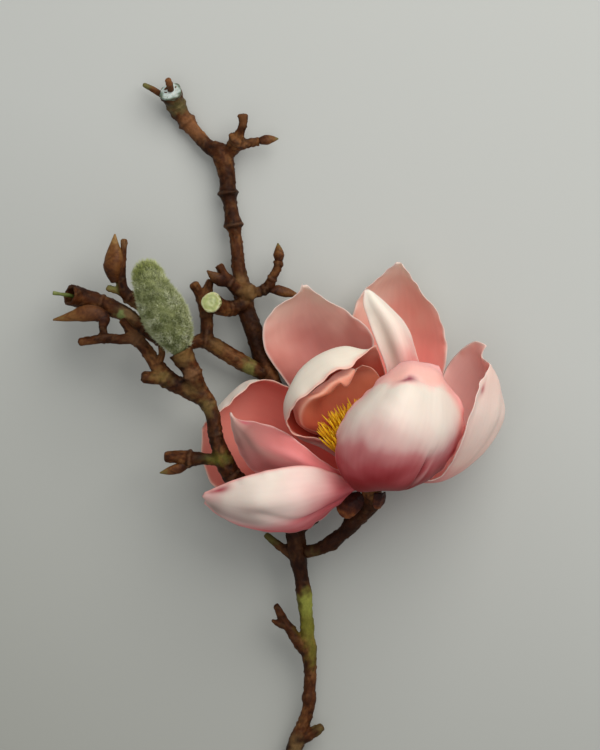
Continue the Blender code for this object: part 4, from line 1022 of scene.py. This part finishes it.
petal_piece("petal_nested", "petal_salmon", INNER, (205, 290), [
    [(22, 14.5, 43.5), (13, 16, 45.5), (8, 18, 48.5), (6, 21.5, 52), (6.4, 25.5, 57), (10.2, 29.8, 61.4),
     (15.3, 33.6, 62.6), (20.8, 38.2, 62.6), (25.2, 41.4, 61.6), (30, 42.2, 59.6), (32, 44.5, 56.5)],
    [(23, 15.5, 43), (14.5, 17.4, 45.5), (10.4, 19.2, 49.5), (9.0, 22.6, 53.5), (9.4, 26.8, 58), (12, 29.8, 61),
     (15.5, 31.7, 62), (19, 33.6, 62), (22, 36.7, 62.2), (25.4, 38.4, 61.6), (27.8, 36.9, 60.2), (30.6, 40, 58),
     (32.6, 43.2, 55.5)],
    [(28, 17, 40), (22, 24, 37), (21, 32, 38.5), (27, 39.5, 42), (34, 44, 48)],
    [(40, 17, 39), (43, 30, 38), (44, 38.5, 40), (41, 43, 43), (35.5, 45, 50)]],
    [(0, 176, 80, 70), (0.5, 222, 160, 140), (1, 232, 190, 170)],
    [(0, 166, 56, 38), (0.35, 200, 92, 66), (0.7, 218, 124, 92), (1, 230, 150, 126)], 139, ruffle=0.1,
    dents=[(0.55, 0.0, 9, 0.06, 3.2), (0.85, 0.0, 0.3, 0.05, 1.2)],
    # The light lip along the v = 0 side is partly the lip's paler colour and partly painted light; the thin pale
    # line at v 0.075 is a painted highlight along the fold.
    spots=[("in", 0.95, 0.0, 0.45, 0.055, (244, 200, 188), 0.95),
           ("in", 0.6, 0.0, 9, 0.05, (216, 140, 126), 0.6),
           ("in", 0.6, 0.075, 9, 0.014, (246, 190, 164), 0.6)],
    rim=(244, 190, 166), rim_width=((0, 1), (0.6, 0.9)), rim_sides=(0.3, 0))
petal_piece("petal_inner_right", "petal_pale", MIDDLE, (60, 5), [
    [(42, 22, 47), (46, 43, 46), (42, 54, 46), (38, 65, 46), (36, 72, 46), (36.5, 77.5, 46.5)],
    [(51, 22, 50), (54, 39, 48), (53, 52, 49), (49, 62, 49), (42, 72, 48), (38, 78, 46)],
    [(58, 20, 42), (63, 35, 40), (60, 47, 40), (55, 62, 40), (48, 70, 42), (39.5, 77, 45)]],
    [(0, 190, 84, 86), (0.25, 224, 130, 126), (0.45, 240, 168, 160), (0.58, 242, 198, 186),
     (0.72, 243, 221, 206), (1, 244, 232, 216)],
    [(0, 180, 70, 64), (1, 214, 136, 126)], 149,
    ruffle=0.12, waver=0.1, dents=[(0.70, 0.22, 0.18, 0.16, -1.5)],
    # The greyish spot over the dent is painted shade in its hollow.
    spots=[("out", 0.66, 0.22, 0.17, 0.13, (184, 166, 148), 0.75),
           ("out", 0.5, 0.8, 0.17, 0.45, (240, 118, 114), 0.95)])

# --- Heart of the flower --------------------------------------------------------------------
# A brown-green knob under the petals, two curled bud scales below it, and a tuft of
# yellow plastic filaments, each moulded with a fat anther at its end.
SCALE_ROWS, SCALE_COLUMNS = 40, 32
STAMENS, STAMEN_RINGS, STAMEN_SIDES = 230, 9, 6
calyx = painted("calyx", 0.55, 500, 0.3, (0.5, 0.2))
knob_way = bend([(*(FLOWER_BASE + FLOWER_AXIS * a), r) for a, r in (
    (0, 4.4), (3, 4.6), (4.6, 3.9), (7, 3.5), (8.6, 2.6), (10, 2.3), (11.8, 1.8))], 0.4)
knob, along, _ = rod_piece(
    "receptacle_knob", knob_way,
    lambda s, phi: knob_way[:, 3:4] * (1 + 0.03 * np.sin(9 * phi) + 0.02 * np.sin(2.5 * s)), 40, calyx,
    "receptacle")
lay_paint(knob.data, gradient(along, [(0, 84, 62, 30), (5, 104, 84, 42), (12, 170, 96, 50)]))


def scale_piece(node, ribs, seed):
    """Curled brown scale leaf: smooth sheet across its ribs, thickened to a rounded rim."""
    rows = np.stack([even_curve(rib, SCALE_ROWS) for rib in ribs], 1)
    grid = np.stack([even_curve(row, SCALE_COLUMNS) for row in rows])
    u, v = np.meshgrid(np.linspace(0, 1, SCALE_ROWS), np.linspace(0, 1, SCALE_COLUMNS), indexing="ij")
    n = sheet_normals(grid)
    grid = grid + n * (0.12 * ripple(grid, 2.2, seed))[..., None]
    rim_gap = np.minimum(np.minimum(u, 1 - u) * 14, np.minimum(v, 1 - v) * 9)
    wall = n * (0.42 * rim_arc(rim_gap, 0.8))[..., None]
    points = leaf_rows(grid + wall, grid - wall)
    obj = plain_mesh(node + "_leaf", (points + LIFT) * MM, leaf_faces(SCALE_ROWS, SCALE_COLUMNS, False))
    mix = np.clip(np.concatenate([u.ravel(), u[1:-1, 1:-1].ravel()]) + 0.2 * ripple(points, 3, seed + 1), 0, 1)
    lay_paint(obj.data, gradient(mix, [
        (0, 38, 10, 7), (0.4, 56, 20, 11), (0.75, 90, 42, 19), (1, 128, 72, 34)]))
    lay_grain(obj.data, points * [1.2, 0.5, 1])
    obj.data.materials.append(bud_brown)
    stands_for(obj, node)


scale_piece("left_scale", [
    [(34.6, -9, 39), (30, -10, 38.5), (24.6, -14.5, 38), (25.2, -18, 37.5), (27.3, -20.3, 37)],
    [(36, -10.5, 40), (33, -13.5, 40.5), (29.6, -17.2, 40), (28.6, -20.8, 37.5)],
    [(37.6, -11.6, 39.2), (36.2, -15.2, 39), (33.4, -18.8, 38.3), (30.2, -21, 37)]], 151)
scale_piece("right_scale", [
    [(40.6, -9.5, 45.4), (40.4, -12.5, 44.4), (40.2, -14.6, 42.2), (41, -16.4, 40.4)],
    [(44, -9.5, 44.2), (43.8, -12, 43.2), (43.4, -14.6, 41.2), (42.2, -16.6, 39.8)],
    [(45.6, -9, 41.5), (45.8, -11.4, 40.8), (44.8, -14.6, 39.4), (43.2, -16.5, 38.9)]], 157)

def stamen_mesh(name, count, seed):
    """Filaments on the flower axis: each a six-sided tube whose centre line leaves the knob,
    fans out by its own angle and sways, and whose radius swells into an anther at the tip."""
    rng = np.random.default_rng(seed)
    turn = rng.uniform(0, FULL_TURN, count)
    rank = np.sqrt(rng.uniform(0, 1, count))
    spread = np.radians(4 + 32 * rank)
    length = rng.uniform(19, 30.5, count) * (1 - 0.06 * rank)
    curl = rng.normal(0, 0.22, (count, 2))
    f = np.linspace(0, 1, STAMEN_RINGS)
    radial = np.cos(turn)[:, None] * FLOWER_SIDE + np.sin(turn)[:, None] * FLOWER_TOP
    cross = np.cross(FLOWER_AXIS, radial)
    root = FLOWER_BASE + FLOWER_AXIS * (9.5 + 2.2 * (1 - rank))[:, None] + radial * (1.9 * rank)[:, None]
    out = length[:, None] * (np.sin(spread)[:, None] * (f - 0.2 * f**2.5))
    up = length[:, None] * np.cos(spread)[:, None] * f
    sway = length[:, None] * curl[:, :1] * f**2 * 0.6
    line = (root[:, None] + radial[:, None] * out[..., None] + FLOWER_AXIS * up[..., None]
            + cross[:, None] * sway[..., None])
    size = np.interp(f, [0, 0.55, 0.68, 0.85, 0.97, 1], [0.30, 0.24, 0.42, 0.54, 0.40, 0.1])
    angle = np.arange(STAMEN_SIDES) * FULL_TURN / STAMEN_SIDES
    ring = np.cos(angle)[:, None] * radial[:, None, None] + np.sin(angle)[:, None] * cross[:, None, None]
    skin = line[:, :, None] + ring * (size[:, None, None] * rng.uniform(0.8, 1.15, (count, 1, 1, 1)))
    points = np.concatenate([line[:, :1], skin.reshape(count, -1, 3), line[:, -1:]], 1)
    each = tube_faces(STAMEN_RINGS, STAMEN_SIDES)
    faces = [[corner + k * points.shape[1] for corner in face] for k in range(count) for face in each]
    obj = plain_mesh(name, (points.reshape(-1, 3) + LIFT) * MM, faces)
    share = np.concatenate([[0], np.repeat(f, STAMEN_SIDES), [1]])
    shade = rng.uniform(0.75, 1.1, count)
    tint = gradient(share, [(0, 186, 96, 30), (0.35, 226, 150, 20), (0.6, 238, 168, 10), (1, 246, 190, 24)])
    lay_paint(obj.data, (tint[None] * shade[:, None, None]).reshape(-1, 3))
    obj.data.materials.append(painted("stamen_yellow", 0.5, 300, 0.2, (0.2, 0.1), subsurface=0.1))
    stands_for(obj, "stamen_tuft")


stamen_mesh("stamens", STAMENS, 163)
